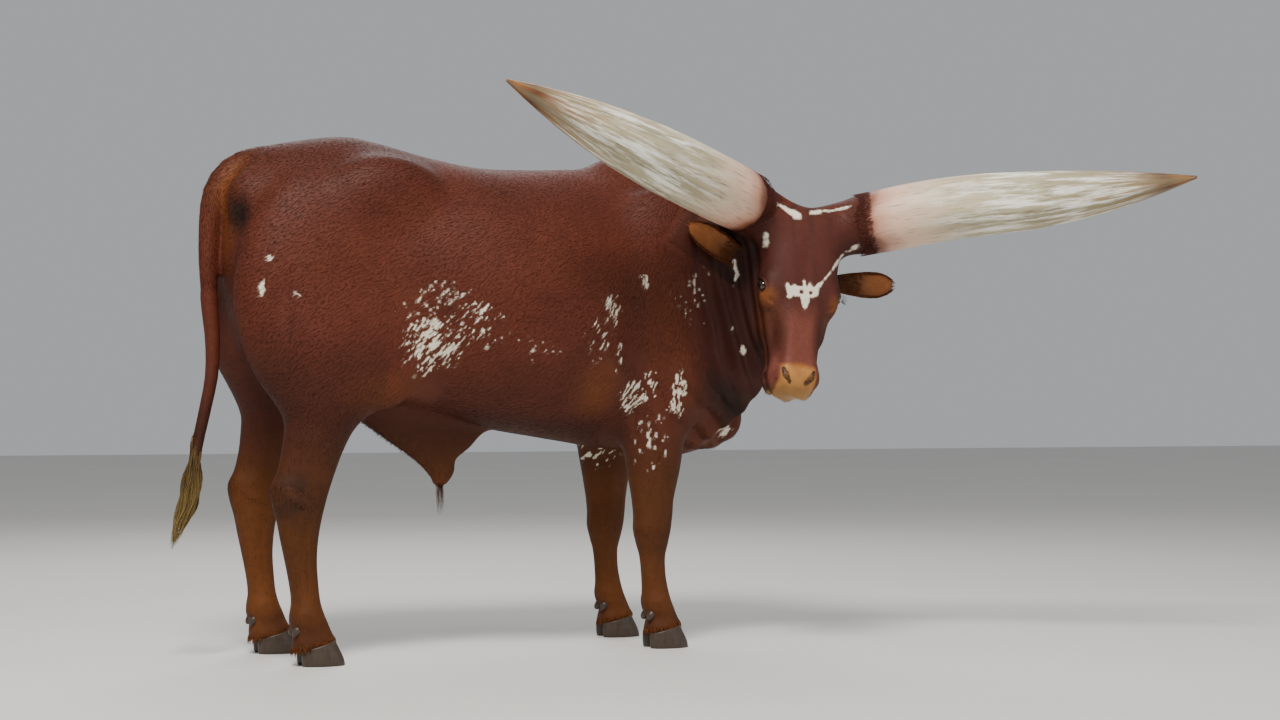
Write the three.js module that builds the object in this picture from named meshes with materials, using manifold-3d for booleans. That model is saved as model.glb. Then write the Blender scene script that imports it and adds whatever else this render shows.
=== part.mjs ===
// A life-size Ankole-Watusi steer standing with its head turned to its right.
// Millimetres. +X is the way the trunk faces, +Y the animal's left, +Z up.
// The animal is modelled whole from anatomical forms and parted by thin cuts.
import * as THREE from "three";
import { mergeVertices } from "three/addons/utils/BufferGeometryUtils.js";
import Module from "manifold-3d";

const wasm = await Module();
wasm.setup();

// Driving dimensions.
const GAP = 0.3; // width of each parting cut
const FORELEG_Y = 165; // lateral place of the fore feet
const HINDLEG_Y = 170; // lateral place of the hind feet
const FORELEG_BACK = { right: 0, left: 12 }; // how far each fore foot is set back
const HINDLEG_BACK = { right: 0, left: 42 };
const ELBOW_CUT_Z = 570; // foreleg parts from the trunk here
const KNEE_CUT_Z = 366; // forearm parts from the cannon
const STIFLE_CUT_Z = 662; // hind leg parts from the trunk
const HOCK_CUT_Z = 448; // gaskin parts from the cannon
const SHEATH_CUT_Z = 640; // sheath parts from the belly
const CORONET_Z = 58; // height of the hairline over the middle of each claw
const CORONET_SLOPE = THREE.MathUtils.degToRad(15);
const EYE_RADIUS = 20.5;
const EYE = { u: 108, v: -52, s: 0 };
const HORN_BASE_RADIUS = 94;

// Head frame: s runs down the face, u to the animal's left, v out of the face.
const BROW = new THREE.Vector3(300, -505, 1058); // forehead midway between the eyes
const HEAD_TURN = THREE.MathUtils.degToRad(-100); // the face looks to the animal's right and a little back
const HEAD_ROLL = THREE.MathUtils.degToRad(-7.5); // left side low
const HEAD_PITCH = THREE.MathUtils.degToRad(7); // muzzle forward of plumb

const vec = (x, y, z) => new THREE.Vector3(x, y, z);

// Profiles and blends

// A smooth curve through rows of numbers, keyed by each row's first number.
function profile(rows) {
  const last = rows.length - 1;
  const slopes = rows.map((row, i) => {
    const before = rows[Math.max(i - 1, 0)];
    const after = rows[Math.min(i + 1, last)];
    return row.map((value, k) => (after[k] - before[k]) / (after[0] - before[0]));
  });
  return (key) => {
    const s = THREE.MathUtils.clamp(key, rows[0][0], rows[last][0]);
    let i = 0;
    while (i < last - 1 && s > rows[i + 1][0]) i++;
    const span = rows[i + 1][0] - rows[i][0];
    const t = (s - rows[i][0]) / span;
    const stay = (1 + 2 * t) * (1 - t) ** 2;
    const leave = t * (1 - t) ** 2 * span;
    const arrive = t * t * (t - 1) * span;
    const value = [];
    for (let k = 0; k < rows[i].length; k++) {
      const ends = stay * rows[i][k] + (1 - stay) * rows[i + 1][k];
      value.push(ends + leave * slopes[i][k] + arrive * slopes[i + 1][k]);
    }
    return value;
  };
}

// Smooth union and smooth cut of two distances, with a fillet of size k.
const blend = (a, b, k) => Math.min(a, b) - (Math.max(k - Math.abs(a - b), 0) ** 2 / k) * 0.25;
const carve = (a, b, k) => -blend(-a, b, k);

// Forms, each a function from a point to its distance outside the form

// A long form by its sections. Rows: s, v low, v high, half width, v of the widest point,
// squareness above and below it, and the sideways shift of the middle.
function sections({ rows, toLocal, round = 60 }) {
  const at = profile(rows);
  const first = rows[0][0];
  const last = rows[rows.length - 1][0];
  return (p) => {
    const [s, u, v] = toLocal(p);
    const [, low, high, half, wide, above, below, shift] = at(s);
    const du = u - shift;
    const dv = v - wide;
    const reach = dv > 0 ? high - wide : wide - low;
    const n = dv > 0 ? above : below;
    const rho = (Math.abs(du / half) ** n + Math.abs(dv / reach) ** n) ** (1 / n);
    const d = rho < 0.05 ? -Math.min(half, reach) : Math.hypot(du, dv) * (1 - 1 / rho);
    return carve(carve(d, s - first, round), last - s, round);
  };
}

// An ellipsoid with its radii along x, y and z after a turn about the y and z axes.
function ellipsoid(centre, radii, pitch = 0, yaw = 0) {
  const turn = new THREE.Matrix4().makeRotationFromEuler(
    new THREE.Euler(0, THREE.MathUtils.degToRad(pitch), THREE.MathUtils.degToRad(yaw), "ZYX"),
  );
  const back = turn.clone().invert();
  const q = vec(0, 0, 0);
  return (p) => {
    q.copy(p).sub(centre).applyMatrix4(back);
    const k0 = Math.hypot(q.x / radii.x, q.y / radii.y, q.z / radii.z);
    const k1 = Math.hypot(q.x / radii.x ** 2, q.y / radii.y ** 2, q.z / radii.z ** 2);
    return k1 < 1e-9 ? -Math.min(radii.x, radii.y, radii.z) : (k0 * (k0 - 1)) / k1;
  };
}

// A tapered bar with round ends from a to b.
function bar(a, b, ra, rb) {
  const ab = b.clone().sub(a);
  const length2 = ab.lengthSq();
  const q = vec(0, 0, 0);
  return (p) => {
    q.copy(p).sub(a);
    const t = THREE.MathUtils.clamp(q.dot(ab) / length2, 0, 1);
    return q.addScaledVector(ab, -t).length() - (ra + (rb - ra) * t);
  };
}

// Joins forms one after another, each with its own fillet.
const joined = (first, ...rest) => (p) => rest.reduce((d, [form, k]) => blend(d, form(p), k), first(p));

// Solids

function solid(geometry) {
  const bare = new THREE.BufferGeometry().setAttribute("position", geometry.getAttribute("position"));
  if (geometry.index) bare.setIndex(geometry.index);
  const merged = mergeVertices(bare, 1e-3);
  return new wasm.Manifold(
    new wasm.Mesh({
      numProp: 3,
      vertProperties: merged.attributes.position.array,
      triVerts: new Uint32Array(merged.index.array),
    }),
  );
}

// Closes a stack of rings of points into a solid. The rings run anticlockwise seen from the last one.
function closed(rings) {
  const sides = rings[0].length;
  const points = rings.flat();
  const faces = [];
  for (let i = 0; i < rings.length - 1; i++) {
    for (let j = 0; j < sides; j++) {
      const a = i * sides + j;
      const b = i * sides + ((j + 1) % sides);
      faces.push(a, b, b + sides, a, b + sides, a + sides);
    }
  }
  const middle = (ring) => ring.reduce((sum, p) => sum.add(p), vec(0, 0, 0)).divideScalar(sides);
  points.push(middle(rings[0]), middle(rings[rings.length - 1]));
  const top = (rings.length - 1) * sides;
  for (let j = 0; j < sides; j++) {
    const k = (j + 1) % sides;
    faces.push(points.length - 2, k, j);
    faces.push(points.length - 1, top + j, top + k);
  }
  const geometry = new THREE.BufferGeometry().setFromPoints(points).setIndex(faces);
  return solid(geometry);
}

// Wraps a form with rings of points about an axis: each point is where a ray from the axis first leaves it.
// Stations are the axis points, and acrossA and acrossB span each ring.
function wrapped(form, stations, acrossA, acrossB, sides, reach) {
  const p = vec(0, 0, 0);
  const rings = stations.map((centre) =>
    Array.from({ length: sides }, (_, j) => {
      const angle = (2 * Math.PI * j) / sides;
      const ray = acrossA.clone().multiplyScalar(Math.cos(angle)).addScaledVector(acrossB, Math.sin(angle));
      const depth = (r) => -form(p.copy(centre).addScaledVector(ray, r));
      let inner = 0.5;
      let outer = 1;
      while (outer < reach && depth(outer) > 0) {
        inner = outer;
        outer += THREE.MathUtils.clamp(depth(outer) * 0.6, 1.5, 12);
      }
      for (let i = 0; i < 9; i++) {
        const half = (inner + outer) / 2;
        if (depth(half) > 0) inner = half;
        else outer = half;
      }
      return centre.clone().addScaledVector(ray, outer);
    }),
  );
  return closed(rings);
}

// A box as a solid, by its two corners, turned about its own middle if asked.
function block(low, high, turn = new THREE.Euler()) {
  const size = high.clone().sub(low);
  const geometry = new THREE.BoxGeometry(size.x, size.y, size.z);
  geometry.applyMatrix4(new THREE.Matrix4().makeRotationFromEuler(turn));
  geometry.translate(...low.clone().add(high).multiplyScalar(0.5).toArray());
  return solid(geometry);
}

// The half of space beyond a plane, as a large box whose near face lies in the plane.
function beyond(point, normal, width, depth) {
  const geometry = new THREE.BoxGeometry(width, width, depth);
  geometry.translate(0, 0, depth / 2);
  geometry.applyQuaternion(new THREE.Quaternion().setFromUnitVectors(vec(0, 0, 1), normal));
  geometry.translate(...point.toArray());
  return solid(geometry);
}

// A dew claw, a short blunt cone from root to tip.
function dewclaw(root, tip, grow) {
  const curve = new THREE.LineCurve3(root, tip);
  const radii = profile([
    [0, 12],
    [0.5, 12],
    [0.85, 8],
    [1, 4],
  ]);
  return tapered(curve, (t) => radii(t)[1] + grow, 2, 6);
}

// A smooth curve through points, all drawn back a little along its first stretch.
function drawnBack(points, distance) {
  const backward = points[0].clone().sub(points[1]).normalize();
  return new THREE.CatmullRomCurve3(points.map((p) => p.clone().addScaledVector(backward, distance)));
}

// A round tapered solid along a curve, by radius at each share of its length.
function tapered(curve, radiusAt, steps, sides, flatten = 1) {
  const frames = curve.computeFrenetFrames(steps);
  const rings = Array.from({ length: steps + 1 }, (_, i) => {
    const centre = curve.getPointAt(i / steps);
    const r = radiusAt(i / steps);
    return Array.from({ length: sides }, (_, j) => {
      const angle = (2 * Math.PI * j) / sides;
      return centre
        .clone()
        .addScaledVector(frames.normals[i], r * Math.cos(angle))
        .addScaledVector(frames.binormals[i], r * flatten * Math.sin(angle));
    });
  });
  return closed(rings);
}

// Trunk

// Rows: x, belly, back, half width, height of the widest point, squareness above and below.
const TRUNK_ROWS = [
  [-1262, 1080, 1368, 85, 1240, 2.0, 2.0, 0],
  [-1200, 965, 1432, 150, 1225, 2.1, 2.0, 0],
  [-1100, 850, 1468, 208, 1190, 2.2, 2.0, 0],
  [-946, 765, 1490, 248, 1135, 2.2, 2.1, 0],
  [-850, 728, 1478, 270, 1105, 2.1, 2.2, 0],
  [-700, 695, 1444, 318, 1050, 2.1, 2.3, 0],
  [-550, 660, 1421, 348, 1010, 2.1, 2.4, 0],
  [-400, 634, 1422, 352, 990, 2.0, 2.4, 0],
  [-264, 612, 1431, 338, 985, 1.9, 2.3, 0],
  [-130, 590, 1440, 308, 980, 1.8, 2.2, 0],
  [0, 580, 1444, 280, 980, 1.7, 2.1, 0],
  [120, 590, 1418, 240, 960, 1.8, 2.0, 0],
  [225, 650, 1330, 180, 930, 2.0, 2.0, 0],
  [290, 740, 1180, 120, 920, 2.0, 2.0, 0],
];

const trunkForm = sections({ rows: TRUNK_ROWS, toLocal: (p) => [p.x, p.y, p.z], round: 70 });

const SIDES = { right: -1, left: 1 };

// Both sides of a pair of forms, made by a function of the side's sign.
const pair = (make) => {
  const right = make(-1);
  const left = make(1);
  return (p) => Math.min(right(p), left(p));
};

const haunch = pair((side) => ellipsoid(vec(-1068, side * 172, 1010), vec(222, 112, 330), -4));
const pinBone = pair((side) => ellipsoid(vec(-1236, side * 96, 1300), vec(48, 42, 60)));
const hipBone = pair((side) => ellipsoid(vec(-868, side * 205, 1322), vec(125, 62, 88)));
const shoulder = pair((side) => ellipsoid(vec(22, side * 196, 1040), vec(172, 92, 330), -10));
const shoulderPoint = pair((side) => ellipsoid(vec(95, side * 205, 830), vec(92, 78, 105)));
const brisket = ellipsoid(vec(178, -14, 702), vec(158, 76, 112), 14);
const breech = ellipsoid(vec(-1178, 0, 1120), vec(92, 130, 270));
const hump = ellipsoid(vec(45, -8, 1395), vec(190, 62, 92), 6);
const flank = pair((side) => ellipsoid(vec(-900, side * 200, 860), vec(100, 58, 150), -18));

const torso = joined(
  trunkForm,
  [haunch, 90],
  [pinBone, 60],
  [hipBone, 90],
  [shoulder, 70],
  [shoulderPoint, 70],
  [brisket, 80],
  [hump, 90],
  [flank, 110],
  [breech, 90],
);

// Neck

const NECK_FROM = vec(50, 20, 1100);
const NECK_TO = vec(322, -340, 1150);
const neckAlong = NECK_TO.clone().sub(NECK_FROM).normalize();
const neckSide = vec(-neckAlong.y, neckAlong.x, 0).normalize();
const neckUp = neckAlong.clone().cross(neckSide);

// Rows: distance from the withers end, lower edge, crest, half width, widest height, squareness, shift.
const NECK_ROWS = [
  [-60, -470, 322, 190, 0, 1.9, 1.7, 0],
  [60, -480, 312, 182, 10, 1.9, 1.6, 0],
  [160, -470, 290, 158, 20, 1.9, 1.4, 0],
  [260, -430, 258, 136, 25, 2.0, 1.35, 0],
  [350, -350, 222, 120, 20, 2.0, 1.5, 0],
  [425, -265, 188, 104, 10, 2.0, 1.8, 0],
  [480, -210, 150, 84, 0, 2.0, 2.0, 0],
];

const neck = sections({
  rows: NECK_ROWS,
  toLocal: (p) => {
    const q = p.clone().sub(NECK_FROM);
    return [q.dot(neckAlong), q.dot(neckSide), q.dot(neckUp)];
  },
  round: 40,
});

// Head

const headFrame = new THREE.Matrix4()
  .makeTranslation(BROW.x, BROW.y, BROW.z)
  .multiply(new THREE.Matrix4().makeRotationZ(HEAD_TURN))
  .multiply(new THREE.Matrix4().makeRotationX(HEAD_ROLL))
  .multiply(new THREE.Matrix4().makeRotationY(-HEAD_PITCH));
const headBack = headFrame.clone().invert();

// A point of the head frame, by u left, v out of the face and s down it, in the animal's frame.
const inHead = (u, v, s) => vec(v, u, -s).applyMatrix4(headFrame);
const headLocal = (p) => {
  const q = p.clone().applyMatrix4(headBack);
  return [-q.z, q.y, q.x];
};
const alongHead = (u, v, s) => vec(v, u, -s).transformDirection(headFrame);

// Rows: s down the face, jaw side, face side, half width, widest depth, squareness.
const HEAD_ROWS = [
  [-252, -165, -25, 78, -95, 2.2, 2.0, 0],
  [-215, -205, -4, 108, -95, 2.6, 2.0, 0],
  [-150, -235, 4, 118, -92, 2.9, 2.0, 0],
  [-70, -258, 4, 116, -90, 3.0, 2.0, 0],
  [0, -268, 0, 108, -88, 2.9, 2.1, 0],
  [60, -256, 0, 92, -88, 2.6, 2.2, 0],
  [120, -222, 2, 80, -84, 2.4, 2.3, 0],
  [180, -178, 4, 73, -76, 2.3, 2.3, 0],
  [225, -152, 8, 71, -68, 2.4, 2.4, 0],
  [262, -142, 8, 71, -66, 2.6, 2.4, 0],
  [292, -128, -6, 68, -66, 2.4, 2.3, 0],
  [312, -114, -34, 56, -70, 2.2, 2.2, 0],
];

const skull = sections({ rows: HEAD_ROWS, toLocal: headLocal, round: 22 });

// An ellipsoid with its middle and radii given in the head frame.
function headEllipsoid(u, v, s, ru, rv, rs) {
  const local = ellipsoid(vec(v, u, -s), vec(rv, ru, rs));
  return (p) => local(p.clone().applyMatrix4(headBack));
}

const orbit = pair((side) => headEllipsoid(side * 96, -58, 12, 26, 40, 56));
const cheek = pair((side) => headEllipsoid(side * 66, -172, 42, 40, 80, 100));
const faceRidge = pair((side) => headEllipsoid(side * 62, -78, 105, 26, 26, 60));
const muzzle = headEllipsoid(0, -58, 262, 71, 64, 50);
const chin = headEllipsoid(0, -108, 270, 58, 36, 32);
const HORN_ROOT = { u: 196, v: -44, s: -236 };
const hornBoss = pair((side) =>
  bar(
    inHead(side * 62, -118, -194),
    inHead(side * HORN_ROOT.u, HORN_ROOT.v, HORN_ROOT.s),
    68,
    HORN_BASE_RADIUS - 2,
  ),
);

const head = joined(
  skull,
  [orbit, 40],
  [cheek, 50],
  [faceRidge, 30],
  [muzzle, 30],
  [chin, 30],
  [hornBoss, 60],
);

// Legs

// Rows: z, rear, front, half width, middle, squareness, and the outward shift of the middle.
const FORELEG_ROWS = [
  [0, -56, 70, 50, 2, 2.2, 2.2, 0],
  [60, -56, 60, 50, 2, 2.2, 2.2, 0],
  [90, -52, 44, 46, 2, 2.1, 2.1, 0],
  [118, -64, 32, 45, -12, 2.1, 2.1, 0],
  [140, -68, 24, 43, -20, 2.0, 2.0, 0],
  [170, -66, 16, 36, -26, 2.0, 2.0, 0],
  [215, -68, 8, 32, -31, 2.0, 2.0, 0],
  [270, -74, 6, 33, -33, 2.0, 2.0, 0],
  [310, -84, 14, 42, -32, 2.2, 2.2, 0],
  [350, -92, 22, 49, -30, 2.4, 2.3, 0],
  [390, -92, 28, 48, -32, 2.3, 2.2, 0],
  [440, -98, 34, 48, -34, 2.1, 2.1, 0],
  [510, -110, 46, 58, -32, 2.0, 2.0, 0],
  [580, -122, 62, 68, -28, 2.0, 2.0, 2],
  [660, -132, 80, 78, -20, 2.0, 2.0, 6],
  [760, -128, 96, 84, -10, 2.0, 2.0, 12],
  [860, -100, 104, 80, 0, 2.0, 2.0, 14],
  [940, -60, 84, 60, 10, 2.0, 2.0, 8],
  [1040, -30, 60, 36, 12, 2.0, 2.0, 2],
];

const HINDLEG_ROWS = [
  [0, -1120, -990, 50, -1062, 2.2, 2.2, 0],
  [60, -1122, -996, 50, -1062, 2.2, 2.2, 0],
  [90, -1122, -1012, 46, -1068, 2.1, 2.1, 0],
  [118, -1130, -1024, 46, -1078, 2.1, 2.1, 0],
  [142, -1130, -1034, 44, -1084, 2.0, 2.0, 0],
  [175, -1126, -1044, 38, -1086, 2.0, 2.0, 0],
  [225, -1132, -1050, 34, -1092, 2.0, 2.0, 0],
  [290, -1145, -1054, 35, -1100, 2.0, 2.0, 0],
  [350, -1158, -1050, 38, -1102, 2.0, 2.0, 0],
  [400, -1168, -1042, 43, -1100, 2.2, 2.0, 0],
  [450, -1182, -1030, 46, -1098, 2.3, 1.9, 0],
  [490, -1186, -1018, 46, -1096, 2.2, 1.8, 0],
  [530, -1168, -1004, 46, -1084, 2.0, 1.9, 0],
  [580, -1156, -986, 56, -1066, 2.0, 2.0, 0],
  [640, -1148, -958, 72, -1046, 2.0, 2.0, 2],
  [700, -1146, -924, 88, -1030, 2.0, 2.0, 6],
  [780, -1165, -890, 102, -1020, 2.0, 2.0, 10],
  [870, -1212, -880, 108, -1040, 2.0, 2.0, 8],
  [960, -1225, -900, 92, -1060, 2.0, 2.0, 4],
  [1060, -1180, -950, 60, -1062, 2.0, 2.0, 0],
  [1130, -1120, -1010, 26, -1064, 2.0, 2.0, 0],
];

function leg(rows, y, side, back) {
  return sections({ rows, toLocal: (p) => [p.z, side * (p.y - side * y), p.x + back], round: 20 });
}

// Sheath

// Rows: z, rear, front, half width, middle, squareness. It hangs in the middle of the belly.
const SHEATH_ROWS = [
  [484, -660, -624, 8, -642, 2.0, 2.0, 0],
  [520, -680, -600, 20, -640, 2.0, 2.0, 0],
  [560, -720, -592, 26, -655, 2.0, 2.0, 0],
  [600, -778, -545, 32, -670, 2.0, 2.0, 0],
  [650, -850, -505, 42, -690, 2.0, 2.0, 0],
  [700, -915, -470, 60, -700, 2.0, 2.0, 0],
  [770, -940, -440, 80, -700, 2.0, 2.0, 0],
];
const sheathForm = sections({ rows: SHEATH_ROWS, toLocal: (p) => [p.z, p.y, p.x], round: 12 });

// The common surface

const legForms = {};
for (const [name, side] of Object.entries(SIDES)) {
  legForms[`foreleg_${name}`] = leg(FORELEG_ROWS, FORELEG_Y, side, FORELEG_BACK[name]);
  legForms[`hindleg_${name}`] = leg(HINDLEG_ROWS, HINDLEG_Y, side, HINDLEG_BACK[name]);
}
const torsoAndNeck = joined(torso, [neck, 120]);
const neckAndHead = joined(neck, [head, 45]);
const torsoAndSheath = joined(torso, [sheathForm, 45]);

// Tail

const TAIL_PATH = [
  [-1110, 0, 1376],
  [-1200, 0, 1404],
  [-1270, 0, 1368],
  [-1312, 0, 1290],
  [-1325, 0, 1152],
  [-1320, 0, 1012],
  [-1310, 0, 900],
  [-1312, 0, 800],
  [-1330, 0, 704],
  [-1348, 0, 620],
  [-1357, 0, 562],
].map((p) => vec(...p));
const TAIL_RADII = profile([
  [0, 34],
  [0.12, 40],
  [0.22, 37],
  [0.35, 30],
  [0.6, 23],
  [0.85, 17],
  [1, 15],
]);

const switchCurve = new THREE.CatmullRomCurve3(
  [
    [-1357.2, 0, 561.1],
    [-1366, -2, 500],
    [-1376, 0, 440],
    [-1396, 3, 385],
    [-1420, 0, 318],
  ].map((p) => vec(...p)),
);
const SWITCH_RADII = profile([
  [0, 16],
  [0.2, 28],
  [0.45, 31],
  [0.7, 23],
  [0.9, 12],
  [1, 3],
]);

// Horns and ears

// Each horn's axis in the head frame: out, forward and up to its tip.
const HORN_AXES = {
  right: [
    [-200, -40, -238],
    [-385, 90, -250],
    [-572, 205, -266],
    [-796, 318, -297],
    [-1003, 415, -330],
  ],
  left: [
    [203, -40, -236],
    [396, 90, -282],
    [606, 205, -314],
    [818, 318, -354],
    [1004, 415, -398],
  ],
};
const HORN_RADII = profile([
  [0, HORN_BASE_RADIUS],
  [0.15, 94],
  [0.38, 91],
  [0.58, 78],
  [0.76, 54],
  [0.9, 27],
  [1, 4],
]);

// Ear rows: distance from the root, half width, half thickness, curl of the edges toward the opening.
const EAR_ROWS = profile([
  [0, 20, 16, 0],
  [50, 26, 15, 3],
  [95, 34, 10, 10],
  [145, 40, 7, 16],
  [200, 38, 6, 13],
  [236, 25, 5, 6],
  [258, 8, 3.5, 1],
]);
const EAR_LENGTH = 258;
const EAR_ROOT = { u: 98, v: -146, s: -58 };
const EAR_POINTING = { right: [-0.87, 0.03, -0.42], left: [0.93, -0.22, -0.15] };

// A cupped leaf. The opening looks toward the given direction.
function leaf(root, pointing, opening, steps, sides, grow = 0) {
  const along = pointing.clone().normalize();
  const across = along.clone().cross(opening).normalize();
  const out = across.clone().cross(along);
  const rings = Array.from({ length: steps + 1 }, (_, i) => {
    const s = (EAR_LENGTH * i) / steps - (i === 0 ? grow : 0);
    const [, half, thick, curl] = EAR_ROWS(s);
    return Array.from({ length: sides }, (_, j) => {
      const angle = (2 * Math.PI * j) / sides;
      const w = Math.cos(angle);
      const lift = (thick + grow) * Math.sin(angle) + curl * w * w;
      return root
        .clone()
        .addScaledVector(along, s)
        .addScaledVector(out, lift)
        .addScaledVector(across, -(half + grow) * w);
    });
  });
  return closed(rings);
}

// Claws

// Claw rows: height, heel, toe, half width, seen from above, before the coronet cut.
const CLAW_ROWS = profile([
  [0, -52, 68, 27],
  [22, -54, 62, 28],
  [55, -52, 46, 26],
  [100, -48, 24, 23],
]);
const CLAW_HALF_GAP = 3; // half the cleft between a foot's two claws
const CLAW_FLAT = 0.55; // how flat a claw's inner wall is

// One claw of a foot. The toes turn a little outward.
function claw(x, y, away) {
  const rings = [0, 25, 60, 100].map((z) => {
    const [, heel, toe, half] = CLAW_ROWS(z);
    return Array.from({ length: 12 }, (_, j) => {
      const angle = (2 * Math.PI * j) / 12;
      const front = Math.cos(angle);
      const side = Math.sin(angle);
      const reach = (toe - heel) / 2;
      const width = side * away > 0 ? half * 1.1 : half * CLAW_FLAT + 8;
      const lean = 0.06 * (front + 1) * half * away;
      return vec(
        x + (toe + heel) / 2 + reach * front,
        y + away * (CLAW_HALF_GAP + half * CLAW_FLAT + 8) + width * side + lean,
        z,
      );
    });
  });
  return closed(rings);
}

// The body and its parting cuts

const model = new THREE.Group();
const material = (color, roughness = 0.6) =>
  new THREE.MeshStandardMaterial({ color, roughness, metalness: 0 });
const COAT = material(0x5a2418);
const HORN = material(0xb9a98c, 0.55);
const CLAW = material(0x3a2a22, 0.5);
const EYEBALL = material(0x120a08, 0.08);
const SWITCH_HAIR = material(0x6b4a34, 0.7);

function add(name, made, look) {
  const data = made.getMesh();
  const points = new Float32Array(data.numVert * 3);
  for (let i = 0; i < data.numVert; i++) {
    points.set(data.vertProperties.subarray(i * data.numProp, i * data.numProp + 3), i * 3);
  }
  const geometry = new THREE.BufferGeometry()
    .setAttribute("position", new THREE.BufferAttribute(points, 3))
    .setIndex(new THREE.BufferAttribute(data.triVerts, 1));
  const mesh = new THREE.Mesh(geometry, look);
  mesh.name = name;
  model.add(mesh);
}

// Points along the trunk's middle: x and height.
const TORSO_AXIS = profile([
  [-1290, 1060],
  [-1262, 1090],
  [-1180, 1150],
  [-1050, 1110],
  [-850, 1090],
  [-550, 1010],
  [-200, 980],
  [60, 970],
  [225, 880],
  [290, 790],
  [334, 712],
]);
const TORSO_STATIONS = [
  -1289, -1272, -1240, -1190, -1120, -1035, -935, -820, -685, -540, -395,
  -275, -175, -85, -5, 70, 140, 205, 258, 300, 329,
].map((x) => vec(x, 0, TORSO_AXIS(x)[1]));
const NECK_STATIONS = [-20, 60, 130, 195, 255, 310, 360, 405, 445, 470];
const HEAD_STATIONS = [
  -298, -268, -236, -204, -170, -135, -98, -64, -34, -8, 20, 52, 90, 130, 168, 200, 226, 248, 268, 286, 302, 313,
];
const FORELEG_HEIGHTS = [24, 56, 84, 110, 138, 175, 245, 310, 350, 395, 445, 515, 600, 690, 790, 900, 1010];
const HINDLEG_HEIGHTS = [24, 56, 84, 110, 140, 178, 250, 335, 405, 455, 495, 540, 610, 700, 810, 930, 1060];
const SHEATH_HEIGHTS = [488, 500, 524, 556, 596, 645, 700];

const torsoSolid = wrapped(torso, TORSO_STATIONS, vec(0, 1, 0), vec(0, 0, 1), 22, 620);
const neckSolid = wrapped(
  torsoAndNeck,
  NECK_STATIONS.map((s) => NECK_FROM.clone().addScaledVector(neckAlong, s).addScaledVector(neckUp, -50)),
  neckSide,
  neckUp,
  20,
  520,
);
const headSolid = wrapped(
  neckAndHead,
  HEAD_STATIONS.map((s) => inHead(0, s > 200 ? -72 : -95, s)),
  alongHead(1, 0, 0),
  alongHead(0, 1, 0),
  22,
  300,
);
const sheathMiddle = profile(SHEATH_ROWS);
const sheathSolid = wrapped(
  torsoAndSheath,
  SHEATH_HEIGHTS.map((z) => vec(sheathMiddle(z)[4], 0, z)),
  vec(1, 0, 0),
  vec(0, 1, 0),
  12,
  220,
);

// A leg's wrap follows the middle of its rows from the ground up.
function legSolid(name, rows, y, side, back, heights) {
  const form = joined(torso, [legForms[name], 60]);
  const middle = profile(rows);
  const stations = heights.map((z) => {
    const row = middle(z);
    return vec(row[4] - back, side * (y + row[7]), z);
  });
  return wrapped(form, stations, vec(1, 0, 0), vec(0, 1, 0), 12, 170);
}

const legSolids = Object.entries(SIDES).flatMap(([name, side]) => [
  legSolid(`foreleg_${name}`, FORELEG_ROWS, FORELEG_Y, side, FORELEG_BACK[name], FORELEG_HEIGHTS),
  legSolid(`hindleg_${name}`, HINDLEG_ROWS, HINDLEG_Y, side, HINDLEG_BACK[name], HINDLEG_HEIGHTS),
]);

let flesh = [neckSolid, headSolid, sheathSolid, ...legSolids].reduce((all, one) => all.add(one), torsoSolid);

// Legs: each is cut across below the trunk and at its knee or hock, and ends at the coronet.
const FEET = [];
for (const [name, side] of Object.entries(SIDES)) {
  const near = side * 82;
  const far = side * 330;
  const box = (x0, x1, z0, z1) =>
    block(vec(x0, Math.min(near, far), z0), vec(x1, Math.max(near, far), z1));
  FEET.push(
    { leg: `foreleg_${name}`, back: FORELEG_BACK[name], x: 2, y: side * FORELEG_Y, side },
    { leg: `hindleg_${name}`, back: HINDLEG_BACK[name], x: -1048, y: side * HINDLEG_Y, side },
  );
  const cuts = {
    foreleg: [-260, 200, KNEE_CUT_Z, ELBOW_CUT_Z],
    hindleg: [-1330, -800, HOCK_CUT_Z, STIFLE_CUT_Z],
  };
  for (const [kind, [x0, x1, middle, top]] of Object.entries(cuts)) {
    const foot = FEET.find((one) => one.leg === `${kind}_${name}`);
    const slope = vec(Math.sin(CORONET_SLOPE), 0, -Math.cos(CORONET_SLOPE));
    const coronet = vec(foot.x - foot.back, foot.y, CORONET_Z);
    const below = beyond(coronet.clone().addScaledVector(slope, -GAP / 2), slope, 260, 160);
    const above = beyond(coronet.clone().addScaledVector(slope, GAP / 2), slope.clone().negate(), 260, 160);
    let lower = flesh.intersect(box(x0, x1, -10, middle - GAP / 2)).subtract(below);
    for (const away of [-1, 1]) {
      const label = away * side > 0 ? "outer" : "inner";
      add(`claw_${kind}_${name}_${label}`, claw(coronet.x, foot.y, away).subtract(above), CLAW);
      const rear = kind === "foreleg" ? -62 : -79;
      const root = vec(coronet.x + rear + 21, foot.y + away * 19, 108);
      const tip = vec(coronet.x + rear + 3, foot.y + away * 24, 84);
      add(`dewclaw_${kind}_${name}_${label}`, dewclaw(root, tip, 0), CLAW);
      lower = lower.subtract(dewclaw(root, tip, GAP));
    }
    add(`lower_${kind}_${name}`, lower, COAT);
    add(`upper_${kind}_${name}`, flesh.intersect(box(x0, x1, middle + GAP / 2, top - GAP / 2)), COAT);
    flesh = flesh.subtract(box(x0, x1, -10, top + GAP / 2));
  }
}

// Sheath, tail, ears, eyes and horns.
const sheathBox = (top) => block(vec(-960, -81, 400), vec(-484, 81, top));
add("sheath", flesh.intersect(sheathBox(SHEATH_CUT_Z - GAP / 2)), COAT);
flesh = flesh.subtract(sheathBox(SHEATH_CUT_Z + GAP / 2));

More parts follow.
